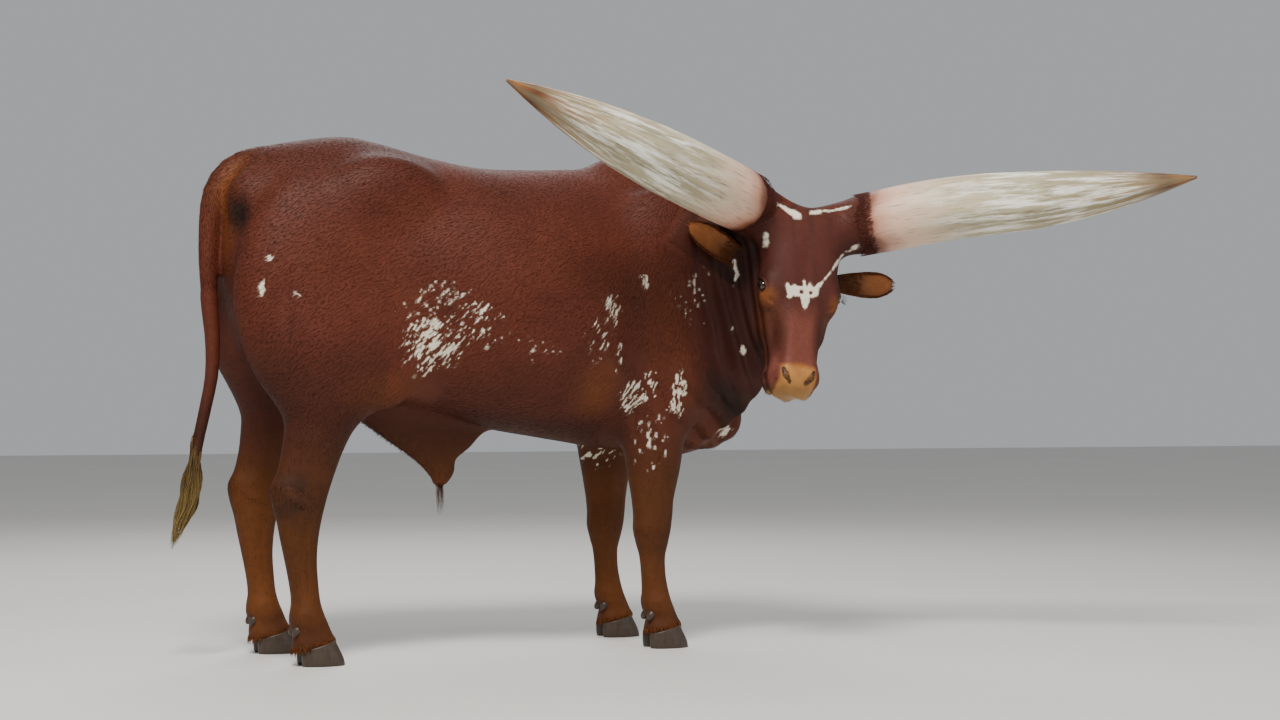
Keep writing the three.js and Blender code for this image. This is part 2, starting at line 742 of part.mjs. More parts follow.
const tailSolid = (grow) => tapered(drawnBack(TAIL_PATH, grow), (t) => TAIL_RADII(t)[1] + grow, 17, 8);
add("tail", tailSolid(0), COAT);
add("tail_switch", tapered(switchCurve, (t) => SWITCH_RADII(t)[1], 8, 9), SWITCH_HAIR);
flesh = flesh.subtract(tailSolid(GAP));

for (const name of Object.keys(SIDES)) {
  const side = SIDES[name];
  const axis = HORN_AXES[name].map((p) => inHead(...p));
  const horn = (grow) => tapered(drawnBack(axis, grow), (t) => HORN_RADII(t)[1] + grow, 11, 14);
  add(`horn_${name}`, horn(0), HORN);
  const root = inHead(side * EAR_ROOT.u, EAR_ROOT.v, EAR_ROOT.s);
  const ear = (grow) => leaf(root, alongHead(...EAR_POINTING[name]), alongHead(0, 1, 0.3), 8, 10, grow);
  add(`ear_${name}`, ear(0), COAT);
  const eyeball = (grow) => {
    const geometry = new THREE.SphereGeometry(EYE_RADIUS + grow, 12, 8);
    geometry.translate(...inHead(side * EYE.u, EYE.v, EYE.s).toArray());
    return solid(geometry);
  };
  add(`eye_${name}`, eyeball(0), EYEBALL);
  flesh = flesh.subtract(horn(GAP)).subtract(ear(GAP)).subtract(eyeball(GAP));
}

// The head parts from the neck behind the jaw, and the neck from the trunk before the shoulders.
const HEAD_CUT = { at: vec(335, -262, 1100), facing: vec(0.14, -0.98, 0.05).normalize() };
const NECK_CUT = { at: vec(232, -120, 1000), facing: vec(0.8, -0.6, 0).normalize() };
const ahead = (cut, shift) =>
  beyond(cut.at.clone().addScaledVector(cut.facing, shift), cut.facing, 3000, 1500);
add("head", flesh.intersect(ahead(HEAD_CUT, GAP / 2)), COAT);
flesh = flesh.subtract(ahead(HEAD_CUT, -GAP / 2));
add("neck", flesh.intersect(ahead(NECK_CUT, GAP / 2)), COAT);
add("trunk", flesh.subtract(ahead(NECK_CUT, -GAP / 2)), COAT);

// The ground is at zero and the origin under the middle of the animal's box.
const extent = new THREE.Box3().setFromObject(model);
const middle = extent.getCenter(vec(0, 0, 0));
model.position.set(-middle.x, -middle.y, -extent.min.z);

export default model;
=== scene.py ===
"""Looks of the Ankole-Watusi steer: one skin over all its flesh, coat, horns, claws, eyes and tail hair."""

import math
from collections import namedtuple
from functools import partial

import bpy
import numpy as np
from mathutils import Matrix, Vector


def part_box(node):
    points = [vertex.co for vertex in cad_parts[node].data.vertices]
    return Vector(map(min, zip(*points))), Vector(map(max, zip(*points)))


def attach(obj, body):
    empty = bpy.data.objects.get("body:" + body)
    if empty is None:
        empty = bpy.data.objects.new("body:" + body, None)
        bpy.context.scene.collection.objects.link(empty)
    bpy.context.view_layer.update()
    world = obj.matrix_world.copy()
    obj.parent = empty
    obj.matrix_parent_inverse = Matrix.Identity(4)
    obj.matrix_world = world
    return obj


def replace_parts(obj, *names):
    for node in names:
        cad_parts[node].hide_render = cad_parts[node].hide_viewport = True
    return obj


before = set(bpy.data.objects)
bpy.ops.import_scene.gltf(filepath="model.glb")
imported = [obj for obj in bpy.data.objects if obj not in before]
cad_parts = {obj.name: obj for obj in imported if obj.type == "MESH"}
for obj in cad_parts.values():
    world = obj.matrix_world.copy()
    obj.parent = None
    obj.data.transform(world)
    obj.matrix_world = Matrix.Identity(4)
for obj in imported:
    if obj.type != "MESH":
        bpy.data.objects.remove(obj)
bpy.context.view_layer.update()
rng = np.random.default_rng(7)

# Sizes of the animal in millimetres, in its own frame: X forward, Y to its left, Z up from the ground.
# A side is -1 for the right and 1 for the left.
WORDS = {-1: "right", 1: "left"}
# Legs: distance from the middle plane, how far each side's stands back, where its claws stand, how far
# from them the dewclaws and the fringe's middle are, and half the fringe's length.
Limb = namedtuple("Limb", "name y back claw_x dewclaw_x fringe_x fringe_reach")
FORELEG = Limb("foreleg", 165, {-1: 0, 1: 12}, 2, -62, -1, 51)
HINDLEG = Limb("hindleg", 170, {-1: 0, 1: 42}, -1048, -79, -15, 57)
# The sloped hairline above the claws.
CORONET_Z = 58
CORONET_SLOPE = math.radians(15)
# Head: the middle of the brow, and how the head is held.
BROW = np.array([300.0, -505.0, 1058.0])
HEAD_TURN, HEAD_ROLL, HEAD_PITCH = math.radians(-100), math.radians(-7.5), math.radians(7)
EYE = (108, -52, 0)
EYE_RADIUS = 20.5
CORNEA_RISE = 0.035
HORN_BASE_RADIUS = 94
# Folds of the neck: millimetres for each radian of their wave.
FOLD_PITCH = 6.6
# Coat.
COAT_DEPTH = 3.0
TUFTS = 262000
TUFT_LENGTH = 15.0
TUFT_HALF_WIDTH = 0.85
COAT_PIECES = 6

# Skin: its coarsest cells and the box that they fill, the extra thickness that lets them catch the ears,
# the step over which a slope is measured, and the points of each line pressed into it.
SKIN_CELL = 11.0
SKIN_LOW = np.array([-1365.0, -800.0, 20.0])
SKIN_HIGH = np.array([700.0, 390.0, 1520.0])
EAR_FAT = 9.0
SLOPE_PROBE = 0.7
LINE_POINTS = 8


def srgb(hex_colour):
    """A linear colour from an sRGB hex string."""
    values = [int(hex_colour[i : i + 2], 16) / 255 for i in (1, 3, 5)]
    return np.array([v / 12.92 if v <= 0.04045 else ((v + 0.055) / 1.055) ** 2.4 for v in values])


# Shapes as distances, on arrays of points


def profile(rows):
    """A smooth curve through rows of numbers, keyed by each row's first number."""
    rows = np.array(rows, float)
    after = rows[np.minimum(np.arange(len(rows)) + 1, len(rows) - 1)]
    before = rows[np.maximum(np.arange(len(rows)) - 1, 0)]
    slopes = (after - before) / (after[:, :1] - before[:, :1])

    def at(key):
        s = np.clip(key, rows[0, 0], rows[-1, 0])
        i = np.clip(np.searchsorted(rows[:, 0], s) - 1, 0, len(rows) - 2)
        span = rows[i + 1, 0] - rows[i, 0]
        t = (s - rows[i, 0]) / span
        stay = (1 + 2 * t) * (1 - t) ** 2
        leave = t * (1 - t) ** 2 * span
        arrive = t * t * (t - 1) * span
        ends = stay[:, None] * rows[i] + (1 - stay)[:, None] * rows[i + 1]
        return (ends + leave[:, None] * slopes[i] + arrive[:, None] * slopes[i + 1]).T

    return at


def blend(a, b, k):
    """Smooth union with a fillet of size k."""
    return np.minimum(a, b) - np.maximum(k - np.abs(a - b), 0) ** 2 / k * 0.25


def carve(a, b, k):
    """Cuts b out of a with a rounded lip of size k."""
    return -blend(-a, b, k)


def away(p, place):
    """How far points are from a place."""
    return np.linalg.norm(p - place, axis=1)


def beside(p, a, b):
    """Distance of points to the line between two places, and the share along it where it is nearest."""
    ab = b - a
    t = np.clip((p - a) @ ab / (ab @ ab), 0, 1)
    return np.linalg.norm(p - a - t[:, None] * ab, axis=1), t


def step(x, low, high):
    """0 below low, 1 above high, smooth between."""
    t = np.clip((x - low) / (high - low), 0, 1)
    return t * t * (3 - 2 * t)


def direction(v):
    """The way that one vector points, one long."""
    return v / np.linalg.norm(v)


FAR = 400.0
MARGIN = 150.0


def masked(form):
    """Evaluates a form only near itself, because far from it only the nearest form counts."""

    def at(p):
        q, near = form.local(p)
        d = np.full(len(p), FAR)
        if near.any():
            d[near] = form.distance(q[near])
        return d

    return at


class Sections:
    """A long form by its sections. Rows: s, v low, v high, half width, v of the widest point, then
    squareness above it, squareness below it and sideways shift where these differ from a plain oval."""

    OVAL = [2.0, 2.0, 0.0]

    def __init__(self, rows, to_local, rounding):
        self.rows = np.array([row + self.OVAL[len(row) - 5 :] for row in rows], float)
        self.at = profile(self.rows)
        self.to_local = to_local
        self.rounding = rounding

    def local(self, p):
        q = self.to_local(p)
        r = self.rows
        near = (q[:, 0] > r[0, 0] - MARGIN) & (q[:, 0] < r[-1, 0] + MARGIN)
        near &= np.abs(q[:, 1]) < r[:, 3].max() + r[:, 7].max() + MARGIN
        near &= (q[:, 2] > r[:, 1].min() - MARGIN) & (q[:, 2] < r[:, 2].max() + MARGIN)
        return q, near

    def distance(self, q):
        _, low, high, half, wide, above, below, shift = self.at(q[:, 0])
        du, dv = q[:, 1] - shift, q[:, 2] - wide
        reach = np.where(dv > 0, high - wide, wide - low)
        n = np.where(dv > 0, above, below)
        rho = (np.abs(du / half) ** n + np.abs(dv / reach) ** n) ** (1 / n)
        rho = np.maximum(rho, 0.05)
        d = np.hypot(du, dv) * (1 - 1 / rho)
        d = np.where(rho <= 0.05, -np.minimum(half, reach), d)
        d = carve(d, q[:, 0] - self.rows[0, 0], self.rounding)
        return carve(d, self.rows[-1, 0] - q[:, 0], self.rounding)


class Ellipsoid:
    """An ellipsoid whose axes are the columns of a matrix."""

    def __init__(self, centre, radii, axes):
        self.centre = np.array(centre, float)
        self.radii = np.array(radii, float)
        self.axes = axes
        self.reach = self.radii.max() + MARGIN

    def local(self, p):
        q = p - self.centre
        return q, (np.abs(q) < self.reach).all(1)

    def distance(self, q):
        q = q @ self.axes
        k0 = np.linalg.norm(q / self.radii, axis=1)
        k1 = np.linalg.norm(q / self.radii**2, axis=1) + 1e-9
        return np.where(k1 < 1e-8, -self.radii.min(), k0 * (k0 - 1) / k1)


class Tube:
    """A round bar along a path of points, with a radius at each."""

    def __init__(self, path, radii):
        self.path = np.array(path, float)
        self.radii = np.array(radii, float)
        self.low = self.path.min(0) - self.radii.max() - MARGIN
        self.high = self.path.max(0) + self.radii.max() + MARGIN

    def local(self, p):
        return p, ((p > self.low) & (p < self.high)).all(1)

    def distance(self, q):
        best = np.full(len(q), 1e9)
        for a, b, ra, rb in zip(self.path[:-1], self.path[1:], self.radii[:-1], self.radii[1:]):
            d, t = beside(q, a, b)
            best = np.minimum(best, d - (ra + (rb - ra) * t))
        return best


def turned(axis, angle):
    """A rotation matrix about one axis."""
    return np.array(Matrix.Rotation(angle, 3, axis.upper()))


def curve(points, count):
    """Points along a smooth curve through the given ones."""
    points = np.array(points, float)
    padded = np.vstack([2 * points[0] - points[1], points, 2 * points[-1] - points[-2]])
    out = []
    for t in np.linspace(0, len(points) - 1, count):
        i = min(int(t), len(points) - 2)
        f = t - i
        a, b, c, d = padded[i : i + 4]
        square, cube = 2 * a - 5 * b + 4 * c - d, 3 * b - a - 3 * c + d
        out.append(0.5 * (2 * b + (c - a) * f + square * f**2 + cube * f**3))
    return np.array(out)


def even(points, count):
    """The same curve in steps of equal length."""
    fine = curve(points, 400)
    run = np.concatenate([[0], np.cumsum(np.linalg.norm(np.diff(fine, axis=0), axis=1))])
    want = np.linspace(0, run[-1], count)
    return np.stack([np.interp(want, run, fine[:, k]) for k in range(3)], 1)


# Head frame: u to the animal's left, v out of the face, s down it

HEAD = turned("z", HEAD_TURN) @ turned("x", HEAD_ROLL) @ turned("y", -HEAD_PITCH)


def in_head(u, v, s):
    """A point of the head frame, in the animal's frame."""
    return BROW + HEAD @ np.array([v, u, -s], float)


MID_HEAD = in_head(0, -100, 20)


def along_head(u, v, s):
    """A direction of the head frame, in the animal's frame."""
    return direction(HEAD @ np.array([v, u, -s], float))


def head_coordinates(p):
    """s, u and v of points."""
    q = (p - BROW) @ HEAD
    return np.stack([-q[:, 2], q[:, 1], q[:, 0]], 1)


def head_ellipsoid(u, v, s, ru, rv, rs):
    """An ellipsoid of the head, in its frame."""
    return masked(Ellipsoid(in_head(u, v, s), (rv, ru, rs), HEAD))


def both(make):
    """The right and left copies of a form, as one."""
    right, left = make(-1), make(1)
    return lambda p: np.minimum(right(p), left(p))


def head_pair(u, v, s, ru, rv, rs):
    """Ellipsoids on both sides of the head, given for the left."""
    return both(lambda side: head_ellipsoid(side * u, v, s, ru, rv, rs))


def joined(first, *rest):
    """Joins forms one after another, each with its own fillet."""

    def at(p):
        d = first(p)
        for form, k in rest:
            d = blend(d, form(p), k)
        return d

    return at


def ellipsoid(centre, radii, pitch=0.0):
    """An ellipsoid of the trunk, its nose raised by a pitch in degrees."""
    return masked(Ellipsoid(centre, radii, turned("y", math.radians(pitch))))


def pair(centre, radii, pitch=0.0):
    """The same on both sides, with its centre given for the left."""
    return both(lambda side: ellipsoid(np.array(centre) * [1, side, 1], radii, pitch))


TRUNK_ROWS = [
    [-1262, 1080, 1368, 85, 1240],
    [-1200, 965, 1432, 150, 1225, 2.1],
    [-1100, 850, 1468, 208, 1190, 2.2],
    [-946, 765, 1490, 248, 1135, 2.2, 2.1],
    [-850, 728, 1478, 270, 1105, 2.1, 2.2],
    [-700, 695, 1444, 318, 1050, 2.1, 2.3],
    [-550, 660, 1421, 348, 1010, 2.1, 2.4],
    [-400, 634, 1422, 352, 990, 2.0, 2.4],
    [-264, 612, 1431, 338, 985, 1.9, 2.3],
    [-130, 590, 1440, 308, 980, 1.8, 2.2],
    [0, 580, 1444, 280, 980, 1.7, 2.1],
    [120, 590, 1418, 240, 960, 1.8],
    [225, 650, 1330, 180, 930],
    [290, 740, 1180, 120, 920],
]
torso = joined(
    masked(Sections(TRUNK_ROWS, lambda p: p, 70)),
    (pair((-1068, 172, 1010), (222, 112, 330), -4), 90),
    (pair((-1236, 96, 1300), (48, 42, 60)), 60),
    (pair((-868, 205, 1322), (125, 62, 88)), 90),
    (pair((22, 196, 1040), (172, 92, 330), -10), 70),
    (pair((95, 205, 830), (92, 78, 105)), 70),
    (ellipsoid((178, -14, 702), (158, 76, 112), 14), 80),
    (ellipsoid((45, -8, 1395), (190, 62, 92), 6), 90),
    (pair((-900, 200, 860), (100, 58, 150), -18), 110),
    (ellipsoid((-1178, 0, 1120), (92, 130, 270)), 90),
)

NECK_FROM = np.array([50.0, 20.0, 1100.0])
NECK_TO = np.array([322.0, -340.0, 1150.0])
neck_along = direction(NECK_TO - NECK_FROM)
neck_side = np.array([-neck_along[1], neck_along[0], 0]) / math.hypot(*neck_along[:2])
neck_up = np.cross(neck_along, neck_side)
NECK = np.stack([neck_along, neck_side, neck_up])
NECK_ROWS = [
    [-60, -470, 322, 190, 0, 1.9, 1.7],
    [60, -480, 312, 182, 10, 1.9, 1.6],
    [160, -470, 290, 158, 20, 1.9, 1.4],
    [260, -430, 258, 136, 25, 2.0, 1.35],
    [350, -350, 222, 120, 20, 2.0, 1.5],
    [425, -265, 188, 104, 10, 2.0, 1.8],
    [480, -210, 150, 84, 0],
]


def neck_coordinates(p):
    """Points along the neck, to its outer side and up across it."""
    return (p - NECK_FROM) @ NECK.T


neck = masked(Sections(NECK_ROWS, neck_coordinates, 40))

HEAD_ROWS = [
    [-252, -165, -25, 78, -95, 2.2],
    [-215, -205, -4, 108, -95, 2.6],
    [-150, -235, 4, 118, -92, 2.9],
    [-70, -258, 4, 116, -90, 3.0],
    [0, -268, 0, 108, -88, 2.9, 2.1],
    [60, -256, 0, 92, -88, 2.6, 2.2],
    [120, -222, 2, 80, -84, 2.4, 2.3],
    [180, -178, 4, 73, -76, 2.3, 2.3],
    [225, -152, 8, 71, -68, 2.4, 2.4],
    [262, -142, 8, 71, -66, 2.6, 2.4],
    [292, -128, -6, 68, -66, 2.4, 2.3],
    [312, -114, -34, 56, -70, 2.2, 2.2],
]
HORN_ROOT = (196, -44, -236)


def horn_boss(side):
    """The bony root that carries a horn."""
    u, v, s = HORN_ROOT
    path = [in_head(side * 62, -118, -194), in_head(side * u, v, s)]
    return masked(Tube(path, [68, HORN_BASE_RADIUS - 2]))


head = joined(
    masked(Sections(HEAD_ROWS, head_coordinates, 22)),
    (head_pair(96, -58, 12, 26, 40, 56), 40),
    (head_pair(66, -172, 42, 40, 80, 100), 50),
    (head_pair(62, -78, 105, 26, 26, 60), 30),
    (head_ellipsoid(0, -58, 262, 71, 64, 50), 30),
    (head_ellipsoid(0, -108, 270, 58, 36, 32), 30),
    (both(horn_boss), 60),
)

FORELEG_ROWS = [
    [0, -56, 70, 50, 2, 2.2, 2.2],
    [60, -56, 60, 50, 2, 2.2, 2.2],
    [90, -52, 44, 46, 2, 2.1, 2.1],
    [118, -64, 32, 45, -12, 2.1, 2.1],
    [140, -68, 24, 43, -20],
    [170, -66, 16, 36, -26],
    [215, -68, 8, 32, -31],
    [270, -74, 6, 33, -33],
    [310, -84, 14, 42, -32, 2.2, 2.2],
    [350, -92, 22, 49, -30, 2.4, 2.3],
    [390, -92, 28, 48, -32, 2.3, 2.2],
    [440, -98, 34, 48, -34, 2.1, 2.1],
    [510, -110, 46, 58, -32],
    [580, -122, 62, 68, -28, 2.0, 2.0, 2],
    [660, -132, 80, 78, -20, 2.0, 2.0, 6],
    [760, -128, 96, 84, -10, 2.0, 2.0, 12],
    [860, -100, 104, 80, 0, 2.0, 2.0, 14],
    [940, -60, 84, 60, 10, 2.0, 2.0, 8],
    [1040, -30, 60, 36, 12, 2.0, 2.0, 2],
]
HINDLEG_ROWS = [
    [0, -1120, -990, 50, -1062, 2.2, 2.2],
    [60, -1122, -996, 50, -1062, 2.2, 2.2],
    [90, -1122, -1012, 46, -1068, 2.1, 2.1],
    [118, -1130, -1024, 46, -1078, 2.1, 2.1],
    [142, -1130, -1034, 44, -1084],
    [175, -1126, -1044, 38, -1086],
    [225, -1132, -1050, 34, -1092],
    [290, -1145, -1054, 35, -1100],
    [350, -1158, -1050, 38, -1102],
    [400, -1168, -1042, 43, -1100, 2.2],
    [450, -1182, -1030, 46, -1098, 2.3, 1.9],
    [490, -1186, -1018, 46, -1096, 2.2, 1.8],
    [530, -1168, -1004, 46, -1084, 2.0, 1.9],
    [580, -1156, -986, 56, -1066],
    [640, -1148, -958, 72, -1046, 2.0, 2.0, 2],
    [700, -1146, -924, 88, -1030, 2.0, 2.0, 6],
    [780, -1165, -890, 102, -1020, 2.0, 2.0, 10],
    [870, -1212, -880, 108, -1040, 2.0, 2.0, 8],
    [960, -1225, -900, 92, -1060, 2.0, 2.0, 4],
    [1060, -1180, -950, 60, -1062],
    [1130, -1120, -1010, 26, -1064],
]


def leg(rows, limb, side):
    """A leg, by sections at its heights."""

    def to_local(p):
        return np.stack([p[:, 2], side * (p[:, 1] - side * limb.y), p[:, 0] + limb.back[side]], 1)

    return masked(Sections(rows, to_local, 20))


SHEATH_ROWS = [
    [484, -660, -624, 8, -642],
    [520, -680, -600, 20, -640],
    [560, -720, -592, 26, -655],
    [600, -778, -545, 32, -670],
    [650, -850, -505, 42, -690],
    [700, -915, -470, 60, -700],
    [770, -940, -440, 80, -700],
]
# The tail's middle line: x and z, from its root over the rump and down to the switch.
TAIL_X = [-1110, -1200, -1270, -1312, -1325, -1320, -1310, -1312, -1330, -1348, -1357]
TAIL_Z = [1376, 1404, 1368, 1290, 1152, 1012, 900, 800, 704, 620, 562]
TAIL_RINGS = 26
TAIL_RADII = [[0, 34], [0.12, 40], [0.22, 37], [0.35, 30], [0.6, 23], [0.85, 17], [1, 15]]
tail_path = even([(x, 0, z) for x, z in zip(TAIL_X, TAIL_Z)], TAIL_RINGS)
tail_radii = profile(TAIL_RADII)(np.linspace(0, 1, TAIL_RINGS))[1]

# Sections of the ear: distance from its root, half width, half thickness and curl of its rims.
EAR_ROWS = [
    [0, 20, 16, 0],
    [50, 26, 15, 3],
    [95, 34, 10, 10],
    [145, 40, 7, 16],
    [200, 38, 6, 13],
    [236, 25, 5, 6],
    [258, 8, 3.5, 1],
]
EAR_ROOT = (98, -146, -58)
EAR_LENGTH = 258
EAR_POINTING = {-1: (-0.87, 0.03, -0.42), 1: (0.93, -0.22, -0.15)}
EAR_SHAPE = profile(EAR_ROWS)


def ear_frame(side):
    """Rows: along the ear, across it, and out of its opening."""
    along = along_head(*EAR_POINTING[side])
    across = direction(np.cross(along, along_head(0, 1, 0.3)))
    return np.stack([along, across, np.cross(across, along)])


def ear_root(side):
    """Where an ear leaves the head."""
    return in_head(side * EAR_ROOT[0], *EAR_ROOT[1:])


def ear_coordinates(p, side):
    """Points in an ear's own frame."""
    return (p - ear_root(side)) @ ear_frame(side).T


def beside_ear(e, low, high, half, deep):
    """Whether points in an ear's own frame lie in a box round it."""
    return (e[:, 0] > low) & (e[:, 0] < high) & (np.abs(e[:, 1]) < half) & (np.abs(e[:, 2]) < deep)


def ear(side, fat):
    """A cupped leaf. The fat one is thick enough for the coarse mesh to catch."""

    def at(p):
        q = ear_coordinates(p, side)
        near = beside_ear(q, -80, 320, 110, 110)
        d = np.full(len(p), FAR)
        s, w, o = q[near].T
        _, half, thick, curl = EAR_SHAPE(s)
        thick = thick + fat
        t = np.clip(np.abs(w / half), 0, 1.25)
        lift = o - curl * t * t
        rho = np.maximum(np.hypot(w / half, lift / thick), 0.05)
        e = np.hypot(w, lift) * (1 - 1 / rho)
        e = carve(carve(e, s, 10), EAR_LENGTH - s, 8)
        d[near] = e
        return d

    return at


def body(fat=0.0):
    """The whole animal's flesh as one distance."""
    parts = [(neck, 120), (head, 45)]
    for side in (-1, 1):
        parts += [(leg(FORELEG_ROWS, FORELEG, side), 60), (leg(HINDLEG_ROWS, HINDLEG, side), 60)]
    parts.append((masked(Sections(SHEATH_ROWS, lambda p: p[:, [2, 1, 0]], 12)), 45))
    parts.append((masked(Tube(tail_path, tail_radii)), 34))
    parts.append((ear(-1, fat), 16))
    parts.append((ear(1, fat), 16))
    return joined(torso, *parts)


def claw_place(limb, side):
    """Where the claws of a foot stand."""
    return limb.claw_x - limb.back[side], side * limb.y


def above_claws(p):
    """Distance above the sloped hairline of the nearest foot."""
    fore, left = p[:, 0] > -520, p[:, 1] > 0
    backs = [np.where(left, limb.back[1], limb.back[-1]) for limb in (FORELEG, HINDLEG)]
    x = p[:, 0] - np.where(fore, FORELEG.claw_x, HINDLEG.claw_x) + np.where(fore, *backs)
    return (p[:, 2] - CORONET_Z) * math.cos(CORONET_SLOPE) - x * math.sin(CORONET_SLOPE)


# Folds, lids, nostrils and tendons, as lines pressed into or raised from the flesh


def line_distance(p, path):
    """Distance to a path of points, and the share along it."""
    best, where = np.full(len(p), 1e9), np.zeros(len(p))
    for i, (a, b) in enumerate(zip(path[:-1], path[1:])):
        d, t = beside(p, a, b)
        where = np.where(d < best, (i + t) / (len(path) - 1), where)
        best = np.minimum(best, d)
    return best, where


LINES = []


def press(path, width, depth):
    """A groove, or with a negative depth a ridge, that fades out at both ends."""
    LINES.append((curve(path, LINE_POINTS), width, depth))


def press_head(path, width, depth):
    """The same on both sides of the head, with the path given for the left."""
    for side in (-1, 1):
        press([in_head(side * u, v, s) for u, v, s in path], width, depth)


def press_sides(path, width, depth):
    """The same on both sides of the trunk, with the path given for the left."""
    for side in (-1, 1):
        press([(x, side * y, z) for x, y, z in path], width, depth)


def press_legs(path, width, depth, limb):
    """The same on each leg of a kind, with the path given outward from the leg's middle line."""
    for side in (-1, 1):
        for out in (-1, 1):
            press([(x - limb.back[side], side * limb.y + out * w, z) for x, w, z in path], width, depth)


# The mouth's two lines, from its corner to the middle of the front.
press_head([(60, -88, 196), (70, -90, 232), (70, -86, 262), (58, -60, 284)], 3.0, 4.5)
press_head([(58, -60, 284), (34, -32, 298), (0, -24, 302)], 3.0, 3.5)
MOUTH_LINES = list(LINES)
# Folds of the face.
press_head([(22, 8, 236), (16, 4, 270), (6, -16, 298)], 5, 1.6)
press_head([(66, -20, 205), (54, -2, 170), (50, 0, 110)], 13, 6)
press_head([(80, -60, 190), (74, -44, 160), (78, -40, 110)], 9, 3.5)
press_head([(100, -70, 60), (84, -70, 100), (74, -70, 150)], 16, -4)
press_head([(104, -34, 32), (84, -14, 58), (66, -4, 84)], 7, 3.6)
press_head([(98, -26, 44), (84, -14, 76), (70, -12, 100)], 4, 2.4)
press_head([(112, -84, 30), (100, -100, 62), (88, -104, 100)], 8, 2.4)
press_head([(90, -8, -34), (108, -30, -46), (118, -66, -44)], 7, 2.4)
press_head([(84, -4, -52), (104, -22, -64), (118, -58, -64)], 7, 1.8)
press_head([(60, -225, 20), (62, -205, 90), (56, -170, 150)], 14, -4)
press_head([(0, 4, -190), (0, 4, -60), (0, 2, 40)], 18, 1.6)
# Tendons and joints of the legs.
press_legs([(-18, 40, 300), (-24, 33, 250), (-30, 33, 190), (-34, 36, 150)], 9, 4.5, FORELEG)
press_legs([(-10, 48, 520), (-4, 46, 450), (-6, 46, 400)], 12, 3.5, FORELEG)
press_legs([(-48, 52, 480), (-50, 46, 420), (-48, 44, 385)], 9, 3.0, FORELEG)
press_legs([(-1080, 44, 420), (-1098, 36, 330), (-1096, 34, 230), (-1092, 38, 160)], 9, 5, HINDLEG)
press_legs([(-1120, 56, 620), (-1128, 46, 560), (-1140, 42, 505)], 12, 9, HINDLEG)
press_legs([(-1050, 60, 640), (-1062, 50, 560), (-1072, 46, 500)], 14, 3, HINDLEG)
press_legs([(-1150, 46, 470), (-1120, 50, 452), (-1090, 48, 446)], 10, -3, HINDLEG)
# Creases behind the shoulder, at the elbow, on the flank and across the breast.
press_sides([(-150, 300, 1180), (-172, 322, 960), (-150, 290, 760)], 30, 7)
press_sides([(-118, 250, 800), (-128, 232, 720), (-110, 210, 640)], 12, 8)
press_sides([(-142, 262, 860), (-158, 252, 760), (-140, 222, 670)], 12, 6)
press_sides([(-60, 262, 780), (0, 270, 740), (62, 262, 770)], 26, 4)
press_sides([(-700, 300, 1000), (-800, 290, 880), (-880, 262, 770)], 34, 8)
press_sides([(-1150, 250, 1120), (-1165, 262, 960), (-1140, 240, 800)], 26, 6)
press_sides([(-905, 292, 1210), (-930, 292, 1040), (-960, 286, 880)], 30, 4)
press_sides([(150, 230, 1200), (120, 250, 1000), (110, 262, 880)], 28, 5)
press([(255, -60, 600), (300, -75, 700), (330, -100, 830)], 10, 7)
press([(215, 60, 600), (282, 20, 720), (312, -20, 850)], 12, 7)


def folded(d, p):
    """Presses the lines into a distance."""
    for path, width, depth in LINES:
        near = ((p > path.min(0) - 3 * width) & (p < path.max(0) + 3 * width)).all(1)
        if near.any():
            dist, share = line_distance(p[near], path)
            fade = np.sin(np.pi * np.clip(share, 0.04, 0.96)) ** 0.6
            d[near] += depth * fade * np.exp(-((dist / width) ** 2))
    return d


def lattice(p, seed):
    """Smooth random values from 0 to 1, one lump per unit."""
    base = np.floor(p)
    f = p - base
    f = f * f * (3 - 2 * f)
    base = base.astype(np.int64)
    total = np.zeros(len(p))
    for corner in range(8):
        c = np.array([(corner >> k) & 1 for k in range(3)])
        n = base + c
        h = (n[:, 0] * 374761393 + n[:, 1] * 668265263 + n[:, 2] * 2147483647 + seed * 974711) & 0xFFFFFFFF
        h = ((h ^ (h >> 13)) * 1274126177) & 0xFFFFFFFF
        h = ((h ^ (h >> 16)) * 2246822519) & 0xFFFFFFFF
        h = (h ^ (h >> 15)) & 0xFFFFFF
        weight = np.prod(np.where(c == 1, f, 1 - f), axis=1)
        total += weight * h / 0xFFFFFF
    return total


def noise(p, size, seed=0, octaves=2):
    """Cloudy values from 0 to 1 with lumps of the given size in millimetres."""
    value, weight = np.zeros(len(p)), 0.0
    for i in range(octaves):
        value += lattice(p / size * 2**i + 17.3 * i, seed + i) * 0.5**i
        weight += 0.5**i
    return value / weight


def neck_folds(p, n):
    """The upright folds of the neck, as a wave from -1 to 1."""
    return np.sin(n[:, 0] / FOLD_PITCH + 1.6 * noise(p, 120, 3) + n[:, 2] * 0.004)


def eye_frame(side):
    """Rows: out of the eye, along its slit toward the nose, and up across it."""
    out = along_head(side * 0.86, 0.5, 0.02)
    slit = along_head(side * -0.25, 0.62, 0.62)
    slit = direction(slit - out * (slit @ out))
    return np.stack([out, slit, np.cross(out, slit)])


def eye_centre(side):
    """The middle of an eyeball."""
    return in_head(side * EYE[0], *EYE[1:])


def inset(p):
    """How deep the skin lies under the coat's outline."""
    h = head_coordinates(p)
    bare = step(h[:, 0], 205, 240) * step(-h[:, 2], -40, 200)
    on_ear = np.zeros(len(p))
    for side in (-1, 1):
        e = ear_coordinates(p, side)
        on_ear += step(e[:, 0], 10, 60) * beside_ear(e, 0, 280, 70, 60)
    low = step(p[:, 2], 60, 260)
    on_face = 1 - step(away(p, BROW), 260, 420)
    depth = COAT_DEPTH * (0.45 + 0.55 * low) * (1 - 0.5 * on_face) * (1 - 0.6 * np.clip(on_ear, 0, 1))
    return np.where(h[:, 0] > 200, depth * (1 - bare) + 0.3 * bare, depth)


